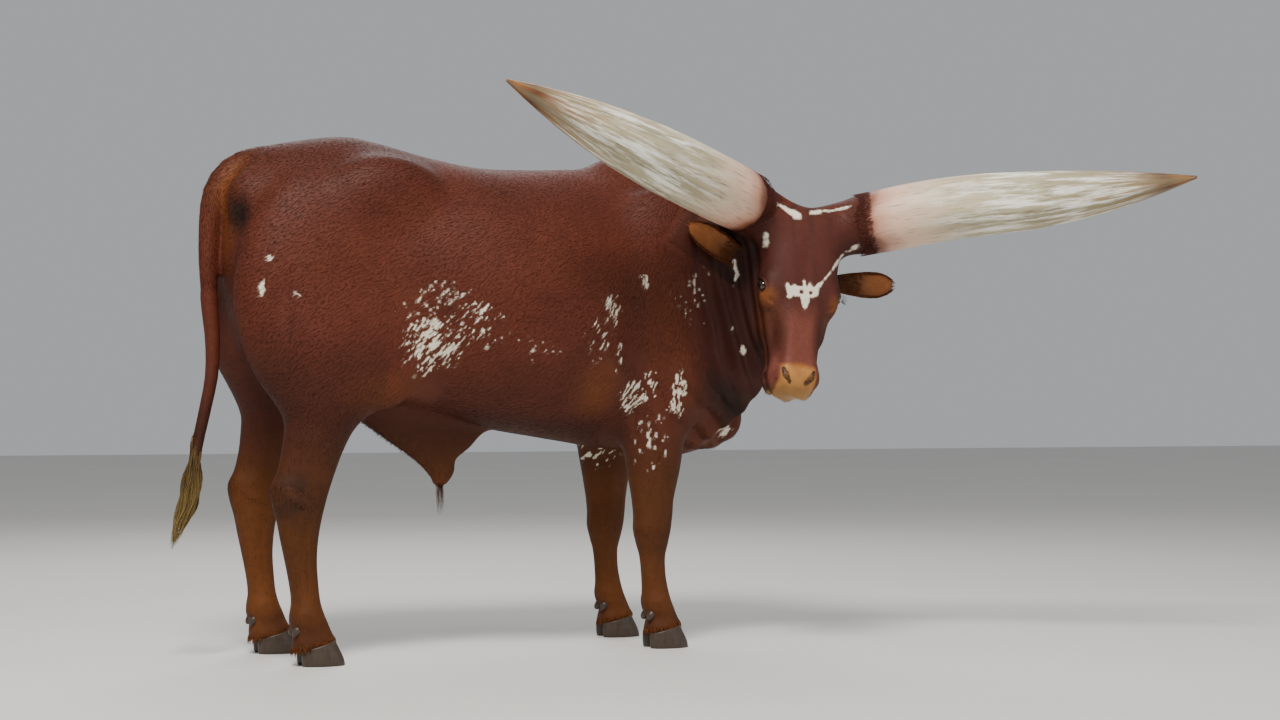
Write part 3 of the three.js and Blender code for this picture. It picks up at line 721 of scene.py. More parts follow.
def skin_distance(p, fat=False, fine=True):
    """The skin's distance, with fat ears if wanted, and with its lids, nostrils and folds when fine."""
    d = (whole_fat(p) if fat else whole_thin(p)) + inset(p)
    if fine:
        d = folded(d, p)
        # The neck's upright folds, on the side it bends to.
        n = neck_coordinates(p)
        bend = step(n[:, 0], 190, 262) * (1 - step(n[:, 0], 400, 470)) * step(-n[:, 1], 10, 60)
        bend *= step(-n[:, 2], -160, 60)
        d += bend * neck_folds(p, n) * 4.2
        low = step(-n[:, 2], 150, 300) * step(n[:, 0], 20, 120)
        d += low * 3.5 * np.sin(n[:, 0] / 9.5 + 3 * noise(p, 90, 5))
        d += 2.2 * (noise(p, 130, 11) - 0.5) * step(p[:, 2], 500, 700)
        for side in (-1, 1):
            c = eye_centre(side)
            near = away(p, c) < 75
            q = (p[near] - c) @ eye_frame(side).T
            e = d[near]
            r = np.linalg.norm(q, axis=1)
            # Lids over the ball, brow above, then the slit.
            lid = np.abs(q[:, 2]) / np.maximum(r, 1e-6)
            e = blend(e, r - (EYE_RADIUS + 2.8 + 1.2 * lid), 9)
            slit = np.linalg.norm((q - [EYE_RADIUS + 1.0, 0, 0]) / [15.0, 20.5, 13.5], axis=1)
            e = carve(e, (slit - 1) * 13.5, 2.0)
            crease = np.linalg.norm(q / [34, 30, 25], axis=1)
            e += 1.6 * np.exp(-(((crease - 1) * 25 / 3.2) ** 2)) * step(q[:, 2], -2, 10)
            e += 1.2 * np.exp(-(((crease - 1) * 25 / 3.0) ** 2)) * step(-q[:, 2], 4, 14)
            d[near] = e
        d = nostrils(d, p)
    return carve(d, above_claws(p) - 0.8, 5)


def nostril_path(side):
    """The comma of a nostril, from its outer top to its inner end."""
    return [in_head(side * u, v, s) for u, v, s in ((44, -1, 246), (38, 4, 262), (25, 1, 278))]


def nostrils(d, p):
    """Adds the swellings round each nostril, and cuts its comma and the passage behind it."""
    for side in (-1, 1):
        for u, v, s, radii in ((54, -26, 256, (14, 24, 24)), (20, -8, 250, (14, 14, 22))):
            d = blend(d, head_ellipsoid(side * u, v, s, *radii)(p) + 1.5, 12)
        path = nostril_path(side)
        hole = masked(Tube(path, [5.0, 8.5, 6.0]))
        deep = masked(Tube([path[1], in_head(side * 32, -44, 262)], [8.0, 7.0]))
        d = carve(d, np.minimum(hole(p), deep(p)), 3)
    return d


whole_thin = body()
whole_fat = body(fat=EAR_FAT)


# The skin's mesh


def grid_net(f, low, high, h):
    """A net of four-sided faces over the zero surface of f, one vertex in each cell that it crosses."""
    count = np.ceil((high - low) / h).astype(int) + 1
    axes = [low[k] + h * np.arange(count[k]) for k in range(3)]
    values = np.empty(count)
    for i in range(0, count[0], 8):
        x = axes[0][i : i + 8]
        p = np.stack(np.meshgrid(x, axes[1], axes[2], indexing="ij"), -1).reshape(-1, 3)
        values[i : i + 8] = f(p).reshape(len(x), count[1], count[2])
    values[values == 0] = 1e-6
    inside = values < 0
    corner = [(i, j, k) for i in (0, 1) for j in (0, 1) for k in (0, 1)]
    cells = [slice(c, n - 1 + c) for c in (0, 1) for n in count]
    hits = sum(inside[cells[3 * i], cells[3 * j + 1], cells[3 * k + 2]].astype(int) for i, j, k in corner)
    active = (hits > 0) & (hits < 8)
    index = np.full(active.shape, -1)
    index[active] = np.arange(active.sum())
    where = np.argwhere(active)
    total, number = np.zeros((len(where), 3)), np.zeros(len(where))
    for a in corner:
        for axis in range(3):
            if a[axis]:
                continue
            b = list(a)
            b[axis] = 1
            va = values[tuple((where + a).T)]
            vb = values[tuple((where + b).T)]
            cross = (va < 0) != (vb < 0)
            t = np.where(cross, va / (va - vb + 1e-12 * ~cross), 0)
            point = np.array(a, float)[None] + t[:, None] * (np.array(b) - a)
            total += point * cross[:, None]
            number += cross
    verts = low + h * (where + total / number[:, None])
    faces = []
    for axis in range(3):
        u, v = (axis + 1) % 3, (axis + 2) % 3
        step_to = np.zeros(3, int)
        step_to[axis] = 1
        a = inside[tuple(slice(0, n - s) for n, s in zip(count, step_to))]
        b = inside[tuple(slice(s, None) for s in step_to)]
        edges = np.argwhere(a != b)
        across, last = edges[:, [u, v]], (count[u] - 1, count[v] - 1)
        edges = edges[((across > 0) & (across < last)).all(1)]
        ring = []
        for du, dv in ((1, 1), (0, 1), (0, 0), (1, 0)):
            c = edges.copy()
            c[:, u] -= du
            c[:, v] -= dv
            ring.append(index[tuple(c.T)])
        quad = np.stack(ring, 1)
        flip = ~a[tuple(edges.T)]
        quad[flip] = quad[flip][:, ::-1]
        faces.append(quad)
    return verts, np.vstack(faces)


def gradient(f, p):
    """The slope of f, from points a little to each side."""
    rises = [f(p + o) - f(p - o) for o in np.eye(3) * SLOPE_PROBE]
    return np.stack(rises, 1) / (2 * SLOPE_PROBE)


def settle(p, f, rounds, most):
    """Moves points onto the zero surface of f along its slope."""
    for _ in range(rounds):
        g = gradient(f, p)
        move = -f(p)[:, None] * g / np.maximum((g**2).sum(1), 0.15)[:, None]
        size = np.linalg.norm(move, axis=1)[:, None]
        p = p + move * np.minimum(1, most / np.maximum(size, 1e-9))
    return p


def refined(verts, faces, chosen):
    """Splits the chosen faces in four, and gives their neighbours the new points on their edges."""
    middle, out, extra = {}, [], []

    def between(a, b):
        key = (a, b) if a < b else (b, a)
        if key not in middle:
            middle[key] = len(verts) + len(extra)
            extra.append((verts[a] + verts[b]) / 2)
        return middle[key]

    for face, split in zip(faces, chosen):
        if split:
            n = len(face)
            mids = [between(face[i], face[(i + 1) % n]) for i in range(n)]
            centre = len(verts) + len(extra)
            extra.append(verts[list(face)].mean(0))
            out.extend([face[i], mids[i], centre, mids[i - 1]] for i in range(n))
        else:
            out.append(list(face))
    final = []
    for face in out:
        ring = []
        for i, a in enumerate(face):
            b = face[(i + 1) % len(face)]
            ring.append(a)
            key = (a, b) if a < b else (b, a)
            if key in middle:
                ring.append(middle[key])
        final.append(ring)
    return np.vstack([verts, np.array(extra)]) if extra else verts, final


def face_centres(verts, faces):
    """The middles of faces."""
    return np.array([verts[list(face)].mean(0) for face in faces])


def in_flecks(p, least=0.0):
    """Where the clusters of white dabs are that are stronger than a given strength."""
    inside = np.zeros(len(p), bool)
    for centre, radii, strength, _ in FLECKS:
        inside |= (strength > least) & (np.linalg.norm((p - centre) / radii, axis=1) < 1.1)
    return inside


def fine_places(p):
    """Where the skin needs small faces: eyes, nostrils, mouth, ears and the stronger white dabs."""
    h = head_coordinates(p)
    need = (h[:, 0] > 215) & (h[:, 2] > -112) & (h[:, 0] < 340) & (np.abs(h[:, 1]) < 100)
    need |= (h[:, 2] > -40) & (h[:, 0] > -60) & (h[:, 0] < 60) & (np.abs(h[:, 1]) < 75)
    for side in (-1, 1):
        need |= away(p, eye_centre(side)) < 46
    return need | on_ears(p) | in_flecks(p, 0.5)


def on_ears(p):
    """Where the ears' leaves are."""
    need = np.zeros(len(p), bool)
    for side in (-1, 1):
        need |= beside_ear(ear_coordinates(p, side), 40, 270, 60, 60)
    return need


def evened(verts, faces, chosen, rounds):
    """Evens out the spacing of the chosen points without shrinking what they cover."""
    sizes = np.array([len(f) for f in faces])
    flat = np.concatenate([np.asarray(f) for f in faces])
    ends = np.cumsum(sizes) - 1
    following = np.roll(flat, -1)
    following[ends] = flat[np.concatenate([[0], ends[:-1] + 1])]
    count = np.zeros(len(verts))
    np.add.at(count, flat, 1)
    np.add.at(count, following, 1)
    for i in range(rounds * 2):
        total = np.zeros_like(verts)
        np.add.at(total, flat, verts[following])
        np.add.at(total, following, verts[flat])
        move = total / count[:, None] - verts
        verts = np.where(chosen[:, None], verts + (0.5, -0.52)[i % 2] * move, verts)
    return verts


def coarse_places(p):
    """Where the skin needs middling faces: head, neck, ears, pasterns, tail and white dabs."""
    need = away(p, BROW + [30, 130, -20]) < 430
    for side in (-1, 1):
        need |= beside_ear(ear_coordinates(p, side), -20, 270, 60, 60)
    need |= (p[:, 2] < 150) | ((p[:, 0] < -1290) & (p[:, 2] < 1340))
    n = neck_coordinates(p)
    need |= (n[:, 0] > 150) & (n[:, 1] < 20)
    return need | in_flecks(p)


def placed(name, data):
    """An object of the scene."""
    obj = bpy.data.objects.new(name, data)
    bpy.context.scene.collection.objects.link(obj)
    return obj


def mesh_object(name, verts, faces):
    """A smooth mesh, from points in millimetres of the animal's frame."""
    mesh = bpy.data.meshes.new(name)
    mesh.from_pydata((np.asarray(verts) / 1000 + SHIFT).tolist(), [], [list(map(int, f)) for f in faces])
    mesh.update()
    mesh.polygons.foreach_set("use_smooth", [True] * len(mesh.polygons))
    return placed(name, mesh)


def fast_mesh(name, verts, triangles):
    """The same, left flat, for a very large set of triangles."""
    mesh = bpy.data.meshes.new(name)
    mesh.vertices.add(len(verts))
    mesh.vertices.foreach_set("co", (verts / 1000 + SHIFT).astype(np.float32).ravel())
    mesh.loops.add(len(triangles) * 3)
    mesh.loops.foreach_set("vertex_index", triangles.astype(np.int32).ravel())
    mesh.polygons.add(len(triangles))
    mesh.polygons.foreach_set("loop_start", np.arange(0, len(triangles) * 3, 3, dtype=np.int32))
    mesh.update(calc_edges=True)
    return placed(name, mesh)


FIELDS = {"FLOAT_COLOR": "color", "FLOAT_VECTOR": "vector", "FLOAT": "value"}


def paint(obj, name, values, kind="FLOAT_COLOR"):
    """Stores a value at each vertex."""
    if kind == "FLOAT_COLOR":
        values = np.column_stack([values, np.ones(len(values))])
    attribute = obj.data.attributes.new(name, kind, "POINT")
    attribute.data.foreach_set(FIELDS[kind], values.astype(np.float32).ravel())


# From the animal's frame to the model's, by the place of an eye in both.
eye_low, eye_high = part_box("eye_right")
SHIFT = np.array((eye_low + eye_high) / 2) - eye_centre(-1) / 1000


def make_skin():
    """The net of the outline, settled under the coat, and split where the detail is small."""
    outline = partial(skin_distance, fat=True, fine=False)
    verts, faces = grid_net(outline, SKIN_LOW, SKIN_HIGH, SKIN_CELL)
    faces = [list(f) for f in faces]
    verts = settle(verts, partial(skin_distance, fine=False), 2, 5.0)
    verts = evened(verts, faces, on_ears(verts), 3)
    verts, faces = refined(verts, faces, coarse_places(face_centres(verts, faces)))
    verts = evened(verts, faces, on_ears(verts), 3)
    verts = settle(verts, skin_distance, 3, 4.0)
    verts, faces = refined(verts, faces, fine_places(face_centres(verts, faces)))
    verts = evened(verts, faces, on_ears(verts), 2)
    near = fine_places(verts)
    verts[near] = settle(verts[near], skin_distance, 4, 2.0)
    return verts, faces


# Markings of the coat, alike on skin and tufts, with painted shade and a painted highlight

RED = srgb("#58281a")
DEEP = srgb("#33150b")
DARK = srgb("#190d09")
TAN = srgb("#80481c")
ORANGE = srgb("#a7652b")
LEG_BROWN = srgb("#4a2608")
CREAM = srgb("#e9e0cc")
MUZZLE = srgb("#aa7840")
MUZZLE_MOTTLE = srgb("#7d5233")
CHIN = srgb("#6e5a2c")
FOREHEAD = srgb("#4e2620")
BRIDGE_HIGHLIGHT = srgb("#84493b")
EAR_WARM = srgb("#a8683a")

# Clusters of white dabs: centre, radii, strength, and how steeply the dabs run.
FLECKS = [
    ((-745, -300, 985), (90, 120, 90), 0.45, 55),
    ((-760, -290, 880), (90, 120, 80), 0.86, 55),
    ((-640, -330, 955), (80, 110, 66), 0.56, 55),
    ((-470, -340, 880), (90, 100, 50), 0.3, 40),
    ((-280, -330, 900), (44, 100, 56), 0.62, 62),
    ((-232, -326, 1000), (36, 100, 60), 0.55, 75),
    ((-140, -262, 738), (40, 80, 56), 1.05, 60),
    ((-88, -268, 770), (26, 80, 60), 0.72, 72),
    ((2, -275, 748), (26, 80, 76), 0.95, 84),
    ((-60, -238, 620), (60, 80, 110), 0.4, 86),
    ((30, -296, 1045), (60, 110, 96), 0.5, 80),
    ((-117, -294, 1080), (16, 60, 30), 0.8, 75),
    ((-204, -312, 850), (12, 60, 60), 0.7, 86),
    ((-1208, -249, 1114), (9, 40, 7), 1.3, 40),
    ((-1228, -247, 1030), (8, 40, 24), 1.0, 70),
    ((-1139, -273, 1015), (9, 40, 7), 1.3, 40),
    ((240, -105, 646), (56, 80, 26), 1.25, 20),
    ((-85, 120, 590), (80, 70, 60), 0.6, 60),
    ((-690, 300, 900), (150, 120, 120), 0.62, 50),
    ((-520, 330, 1010), (110, 110, 90), 0.42, 50),
    ((-90, 285, 770), (80, 90, 70), 0.82, 65),
    ((-1130, 255, 1040), (50, 70, 60), 0.45, 60),
    ((40, 230, 640), (60, 80, 90), 0.4, 85),
]
# A dab's size along its slant, across it and into the hide.
DAB_LENGTH, DAB_WIDTH, DAB_DEPTH = 16, 5.2, 40
# White marks of the head as bars, in its frame: from, to, radii at both ends.
FACE_MARKS = [
    ((-54, -6, -8), (-43, -6, 26), 3, 9),
    ((-34, -4, 12), (26, -4, 8), 15, 16),
    ((2, -4, 18), (4, -4, 46), 17, 11),
    ((-4, -4, -17), (0, -4, 8), 4, 12),
    ((14, -4, -12), (12, -4, 6), 5, 12),
    ((28, -4, 4), (52, -4, -26), 11, 4),
    ((52, -4, -26), (88, -17, -80), 2.4, 3.2),
    ((88, -17, -80), (116, -18, -114), 3.2, 8),
    ((116, -18, -114), (152, -14, -148), 9, 8),
    ((-126, -26, -144), (-122, -26, -120), 7, 8.5),
    ((-104, -14, -236), (-68, -10, -224), 5, 9),
    ((-68, -10, -224), (-42, -6, -212), 9, 14),
    ((6, -10, -229), (46, -14, -246), 6, 4.5),
    ((46, -16, -244), (124, -14, -266), 5, 3.5),
    ((172, 36, -225), (184, 36, -219), 2, 4.5),
    ((172, 28, -194), (186, 28, -188), 2, 4.5),
    ((-182, -141, -80), (-166, -146, -42), 6, 4.5),
    ((-166, -146, -42), (-172, -150, -10), 4, 2),
    ((-152, -194, 104), (-150, -194, 112), 2, 2.5),
    ((-114, -204, 158), (-109, -204, 174), 5, 7),
]
FACE_HOLES = [((-10, -4, 12), 6.6), ((18, -4, 11), 5.8), ((-122, -26, -132), 3.5)]
# The marks lie on the surface, so depth counts less than place when they are measured.
MARK_SCALE = [1, 0.35, 1]
# Tones on both sides of the trunk, given for the left: centre, radii, colour and strength. The deep row
# noted below is painted shade.
TRUNK_TONES_AND_PAINTED_SHADE = [
    ((-262, 285, 752), (56, 60, 96), TAN, 0.38),
    ((-870, 240, 745), (110, 110, 50), TAN, 0.24),
    # Painted shade, darkening the crease behind the shoulder.
    ((-150, 300, 900), (40, 80, 260), DEEP, 0.3),
    ((-1170, 200, 760), (60, 80, 200), DEEP, 0.4),
]
# The same on the head, with each centre in its frame. The deep row noted below is painted shade.
HEAD_TONES_AND_PAINTED_SHADE = [
    ((100, -46, 28), (22, 30, 24), ORANGE, 0.62),
    ((88, -70, 90), (28, 50, 70), TAN, 0.28),
    # Painted shade, darkening the hollow between the bridge and the cheek.
    ((62, -30, 140), (20, 40, 66), DEEP, 0.75),
    ((96, -100, 110), (40, 50, 110), DEEP, 0.6),
    ((112, -40, -34), (30, 30, 26), DEEP, 0.6),
]


def toward(colour, other, share):
    """Mixes a colour into others, by a share for each point."""
    return colour + (other - colour) * np.clip(share, 0, 1)[:, None]


def layered(colour, *layers):
    """Mixes colours in one after another, each with its share."""
    for other, share in layers:
        colour = toward(colour, other, share)
    return colour


def patch(p, centre, radii, edge):
    """1 inside an oval, fading to 0 outside it."""
    return 1 - step(np.linalg.norm((p - centre) / np.array(radii, float), axis=1), 1 - edge, 1 + edge)


def dabs(p):
    """How white the slanting dabs of the sides are."""
    white = np.zeros(len(p))
    for i, (centre, radii, strength, slant) in enumerate(FLECKS):
        near = (np.abs(p - centre) < np.array(radii) * 1.5).all(1)
        if not near.any():
            continue
        q = p[near]
        c, s = math.cos(math.radians(slant)), math.sin(math.radians(slant))
        along, over = q[:, 0] * c + q[:, 2] * s, q[:, 2] * c - q[:, 0] * s
        run = np.stack([along / DAB_LENGTH, over / DAB_WIDTH, q[:, 1] / DAB_DEPTH], 1)
        lumps = 0.66 * lattice(run, 40 + i) + 0.34 * lattice(run * 2.1, 60 + i)
        strong = strength * patch(q, np.array(centre), radii, 0.45)
        white[near] = np.maximum(white[near], step(lumps + 0.42 * strong, 0.86, 0.94) * (strong > 0.05))
    return white


def face_marks(p):
    """How white the marks of the head are."""
    near = away(p, BROW) < 420
    white = np.zeros(len(p))
    if not near.any():
        return white
    h = head_coordinates(p[near])[:, [1, 2, 0]] * MARK_SCALE
    wobble = 9.0 * (noise(p[near], 10, 71) - 0.5)
    w = np.zeros(len(h))
    for a, b, ra, rb in FACE_MARKS:
        d, t = beside(h, np.array(a) * MARK_SCALE, np.array(b) * MARK_SCALE)
        w = np.maximum(w, 1 - step(d - (ra + (rb - ra) * t) + wobble, -1.2, 1.2))
    for centre, radius in FACE_HOLES:
        w *= step(away(h, np.array(centre) * MARK_SCALE) - radius, -1.2, 1.2)
    white[near] = w
    return white


def bare_places(p):
    """Where the hide has no hair: the muzzle's end and the rims of the lids."""
    h = head_coordinates(p)
    low_face = step(h[:, 0] + 0.10 * np.abs(h[:, 1]), 228, 244) * (h[:, 2] > -150) * (h[:, 0] < 400)
    sides = 1 - step(np.abs(h[:, 1]) - 0.1 * (h[:, 0] - 240), 44, 56)
    bare = low_face * sides * (1 - step(-h[:, 2], 92, 112))
    for side in (-1, 1):
        q = (p - eye_centre(side)) @ eye_frame(side).T
        rim = np.linalg.norm(q[:, 1:] / [22.5, 15.5], axis=1)
        bare = np.maximum(bare, (1 - step(rim, 0.95, 1.2)) * (q[:, 0] > 8) * (q[:, 0] < 40))
    return bare


def markings_and_painted_light(p):
    """The coat's colour at points of the animal's frame, with painted shade in hollows and underneath, and
    a painted highlight on the face's bridge.
    """
    h = head_coordinates(p)
    x, y, z = p.T
    clouds = noise(p, 260, 1, 3)
    # Painted shade on the underside of the trunk.
    belly_shade = step(-z, -780, -640) * (x < 80) * (x > -1000) * (1 - step(np.abs(y), 150, 280)) * (z > 500)
    low_leg = step(-z, -720, -420)
    colour = layered(
        np.tile(RED, (len(p), 1)),
        (DEEP, 1.1 * (clouds - 0.42)),
        (TAN, 0.5 * (0.42 - clouds)),
        (DEEP, 0.35 * noise(p, 34, 2, 2) ** 2),
        (DEEP, 0.75 * belly_shade),
        (DEEP, 0.5 * step(-z, -1000, -640) * (x < -880)),
        # Painted shade over the top of the rump.
        (DEEP, 0.4 * step(z, 1180, 1420) * (x < -700)),
        (LEG_BROWN, 0.95 * low_leg),
        (TAN, 0.22 * step(-z, -330, -160) * noise(p, 60, 4)),
        (TAN, 0.22 * low_leg * step(-np.abs(y), -175, -150)),
    )
    for side in (-1, 1):
        hock = patch(p, (-1125 - HINDLEG.back[side], side * 205, 462), (70, 44, 60), 0.8)
        knee = patch(p, (22 - FORELEG.back[side], side * 165, 350), (50, 70, 70), 0.9)
        colour = layered(colour, (DARK, 1.1 * hock * noise(p, 30, 8)), (DEEP, 0.4 * knee))
        for centre, radii, tone, share in TRUNK_TONES_AND_PAINTED_SHADE:
            colour = toward(colour, tone, share * patch(p, np.array(centre) * [1, side, 1], radii, 0.9))
    under_tail = patch(p, (-1265, 0, 1260), (50, 80, 150), 0.8)
    n = neck_coordinates(p)
    # Painted shadow under the head, over the lower front of the neck, stronger on its right side.
    reach = n[:, 0] - 0.22 * (n[:, 2] + 150)
    throat_shadow = step(reach, 236, 300) * (1 - step(n[:, 0], 490, 560)) * step(-n[:, 2], -170, -10)
    # Painted shade in the grooves of the neck's folds.
    fold_shade = step(n[:, 0], 205, 260) * step(-n[:, 1], 0, 60) * step(neck_folds(p, n), 0.1, 0.9)
    # Head: darker forehead, a painted highlight paling the bridge, tan muzzle and chin.
    on_head = 1 - step(away(p, in_head(0, -110, 40)), 250, 340)
    # Painted highlight on the front plane of the face.
    bridge = on_head * step(h[:, 2], -70, -20) * step(h[:, 0], 20, 120)
    muzzle = step(h[:, 0] - 0.16 * np.abs(h[:, 1]), 212, 236) * step(h[:, 2], -150, -110) * on_head
    muzzle *= 1 - step(np.abs(h[:, 1]) - 0.1 * (h[:, 0] - 240), 44, 58)
    colour = layered(
        colour,
        # Painted shadow in the hollow beside the tail's root, on the right.
        (DARK, patch(p, (-1262, -118, 1245), (30, 50, 46), 0.8)),
        (DEEP, 0.7 * step(-z, -150, -90) * noise(p, 40, 9)),
        (TAN, 0.6 * under_tail * step(np.abs(y), 22, 40)),
        (DARK, 0.5 * step(-x, 1270, 1300) * step(-z, -760, -620)),
        (DARK, 0.92 * throat_shadow * (0.6 + 0.4 * step(-n[:, 1], -60, 40))),
        (DARK, 0.6 * fold_shade),
        (FOREHEAD, 0.8 * on_head),
        (BRIDGE_HIGHLIGHT, 0.5 * bridge),
        # Painted shade behind the head, where it meets the neck.
        (DARK, 0.6 * patch(p, in_head(0, -235, 60), (190, 150, 190), 0.6)),
        (ORANGE, 0.8 * muzzle),
        (DEEP, 0.5 * on_head * step(np.abs(h[:, 1]), 60, 140) * step(-h[:, 0], 60, 150)),
    )
    for side in (-1, 1):
        for (u, v, s), radii, tone, share in HEAD_TONES_AND_PAINTED_SHADE:
            colour = toward(colour, tone, share * patch(p, in_head(side * u, v, s), radii, 0.9))
        q = (p - eye_centre(side)) @ eye_frame(side).T
        rim = np.linalg.norm(q[:, 1:] / [21.5, 14.5], axis=1)
        lids = (1 - step(rim, 1.0, 1.35)) * (q[:, 0] > 5) * (q[:, 0] < 42)
        e = ear_coordinates(p, side)
        on_ear = step(e[:, 0], -20, 60) * beside_ear(e, -20, 280, 75, 60)
        _, half, _, curl = EAR_SHAPE(e[:, 0])
        inside = step(e[:, 2] - curl * np.clip(np.abs(e[:, 1] / half), 0, 1.25) ** 2, -1, 3) * on_ear
        warm = inside * step(e[:, 0], 80, 190) * (1 - step(np.abs(e[:, 1] / half), 0.75, 1.0))
        colour = layered(
            colour,
            (DARK, 0.92 * lids),
            # Darker toward the root: the ear's own dark brown, with painted shade at its base.
            (DARK, 0.7 * on_ear * (1 - 0.6 * step(e[:, 0], 100, 220))),
            (EAR_WARM, 0.85 * warm * (0.75 + 0.25 * noise(p, 12, 18))),
        )
    muzzle_bare = bare_places(p) * (h[:, 0] > 150)
    # Painted shade in the seam of the mouth.
    for path, *_ in MOUTH_LINES:
        colour = toward(colour, DARK, 0.7 * (1 - step(line_distance(p, path)[0], 1.0, 4.5)))
    colour = layered(
        colour,
        (MUZZLE, 0.85 * muzzle_bare),
        (MUZZLE_MOTTLE, 0.35 * muzzle_bare * step(noise(p, 26, 14), 0.4, 0.7)),
        (CHIN, 0.45 * step(h[:, 0], 280, 312) * on_head),
    )
    # Painted shade inside each nostril's opening.
    for side in (-1, 1):
        hollow, share = line_distance(p, nostril_path(side))
        colour = toward(colour, DARK, 0.96 * (1 - step(hollow - 2 * np.sin(3.1 * share), 4.5, 10.5)))
    white = np.maximum(dabs(p), face_marks(p))
    white *= 0.9 + 0.1 * noise(p, 8, 21)
    return toward(colour, CREAM, white)


# Materials


def add(tree, kind, inputs=None, **settings):
    """Adds a node with its settings, and links or sets its inputs."""
    node = tree.nodes.new(kind)
    for key, value in settings.items():
        setattr(node, key, value)
    for key, value in (inputs or {}).items():
        if isinstance(value, bpy.types.NodeSocket):
            tree.links.new(value, node.inputs[key])
        else:
            node.inputs[key].default_value = value
    return node


def surface(name, **values):
    """A material of one shader, with its own even values."""
    material = bpy.data.materials.new(name)
    material.use_nodes = True
    shader = material.node_tree.nodes["Principled BSDF"]
    for key, value in values.items():
        shader.inputs[key.replace("_", " ")].default_value = value
    return material, material.node_tree, shader


def mottled(tree, shader, attribute, size, detail, darkest, palest):
    """Gives a shader a vertex colour, darker and paler by clouds of a size in metres. Returns the place."""
    colour = add(tree, "ShaderNodeAttribute", attribute_name=attribute)
    place = add(tree, "ShaderNodeTexCoord").outputs["Object"]
    clouds = add(tree, "ShaderNodeTexNoise", {"Vector": place, "Scale": 1 / size, "Detail": detail})
    limits = {"Value": clouds.outputs["Fac"], "To Min": darkest, "To Max": palest}
    vary = add(tree, "ShaderNodeMapRange", limits)
    both = {0: colour.outputs["Color"], 1: vary.outputs[0]}
    tone = add(tree, "ShaderNodeVectorMath", both, operation="MULTIPLY")
    tree.links.new(tone.outputs[0], shader.inputs["Base Color"])
    return place


def mixed(tree, share, first, second):
    """A colour between two, by a share. The first is a socket or a hex string, the second a hex string."""
    first = (*srgb(first), 1) if isinstance(first, str) else first
    ends = {0: share, 6: first, 7: (*srgb(second), 1)}
    return add(tree, "ShaderNodeMix", ends, data_type="RGBA").outputs[2]


def bumped(tree, shader, height, strength, distance):
    """Gives a shader a fine relief."""
    bump = add(tree, "ShaderNodeBump", {"Height": height, "Strength": strength, "Distance": distance})
    tree.links.new(bump.outputs[0], shader.inputs["Normal"])


def hide_material():
    """Short-haired hide: a satin gloss over very short flat hair, and pebbled wet skin where it is bare."""
    material, tree, shader = surface("short_haired_hide", Specular_IOR_Level=0.2)
    place = mottled(tree, shader, "coat", 0.018, 4.0, 0.78, 1.18)
    bare = add(tree, "ShaderNodeAttribute", attribute_name="bare")
    # Flat hairs, about 2.5 mm from one to the next.
    hairs = add(tree, "ShaderNodeTexNoise", {"Vector": place, "Scale": 1 / 0.0025, "Detail": 3.0})
    pebbles = add(tree, "ShaderNodeTexVoronoi", {"Vector": place, "Scale": 1 / 0.004})
    gloss = add(tree, "ShaderNodeMapRange", {"Value": bare.outputs["Fac"], "To Min": 0.6, "To Max": 0.38})
    tree.links.new(gloss.outputs[0], shader.inputs["Roughness"])
    reliefs = {0: bare.outputs["Fac"], 2: hairs.outputs["Fac"], 3: pebbles.outputs["Distance"]}
    height = add(tree, "ShaderNodeMix", reliefs, data_type="FLOAT")
    bumped(tree, shader, height.outputs[0], 0.35, 0.0012)
    return material


def hair_material(name, rough):
    """Straight hair: each tuft carries its own colour, and shines along its length."""
    material, tree, shader = surface(name, Roughness=rough, Specular_IOR_Level=0.16)
    # Single hairs of a tuft, about 1.2 mm from one to the next.
    mottled(tree, shader, "coat", 0.0012, 2.0, 0.8, 1.2)
    return material


def horn_material():
    """Weathered horn: keratin with pale flaking sheets along it, thin dark splits and brown specks."""
    material, tree, shader = surface("weathered_horn_keratin", Roughness=0.5)
    tone = add(tree, "ShaderNodeAttribute", attribute_name="tone")
    grain = add(tree, "ShaderNodeAttribute", attribute_name="grain")
    flaky = add(tree, "ShaderNodeAttribute", attribute_name="flaky")
    along = grain.outputs["Vector"]
    flakes = {"Vector": along, "Scale": 1 / 0.016, "Detail": 7.0, "Roughness": 0.68}
    sheets = add(tree, "ShaderNodeTexNoise", flakes)
    splits = add(tree, "ShaderNodeTexNoise", {"Vector": along, "Scale": 1 / 0.005, "Detail": 4.0})
    dots = {"Vector": along, "Scale": 1 / 0.011, "Detail": 2.0, "W": 4.0}
    specks = add(tree, "ShaderNodeTexNoise", dots, noise_dimensions="4D")
    shares = []
    for source, low, high, most in (
        (sheets, 0.47, 0.58, 1.0),
        (splits, 0.56, 0.72, 0.6),
        (specks, 0.66, 0.74, 0.55),
    ):
        limits = {"Value": source.outputs["Fac"], "From Min": low, "From Max": high, "To Max": most}
        shares.append(add(tree, "ShaderNodeMapRange", limits))
    pale = {0: shares[0].outputs[0], 1: flaky.outputs["Fac"]}
    shares[0] = add(tree, "ShaderNodeMath", pale, operation="MULTIPLY")
    colour = tone.outputs["Color"]
    for share, shade in zip(shares, ("#f2f0e4", "#6b543c", "#5c3a26")):
        colour = mixed(tree, share.outputs[0], colour, shade)
    tree.links.new(colour, shader.inputs["Base Color"])
    rough = add(tree, "ShaderNodeMapRange", {"Value": flaky.outputs["Fac"], "To Min": 0.34, "To Max": 0.66})
    tree.links.new(rough.outputs[0], shader.inputs["Roughness"])
    reliefs = {0: sheets.outputs["Fac"], 1: splits.outputs["Fac"]}
    height = add(tree, "ShaderNodeMath", reliefs, operation="SUBTRACT")
    bumped(tree, shader, height.outputs[0], 0.5, 0.002)
    return material


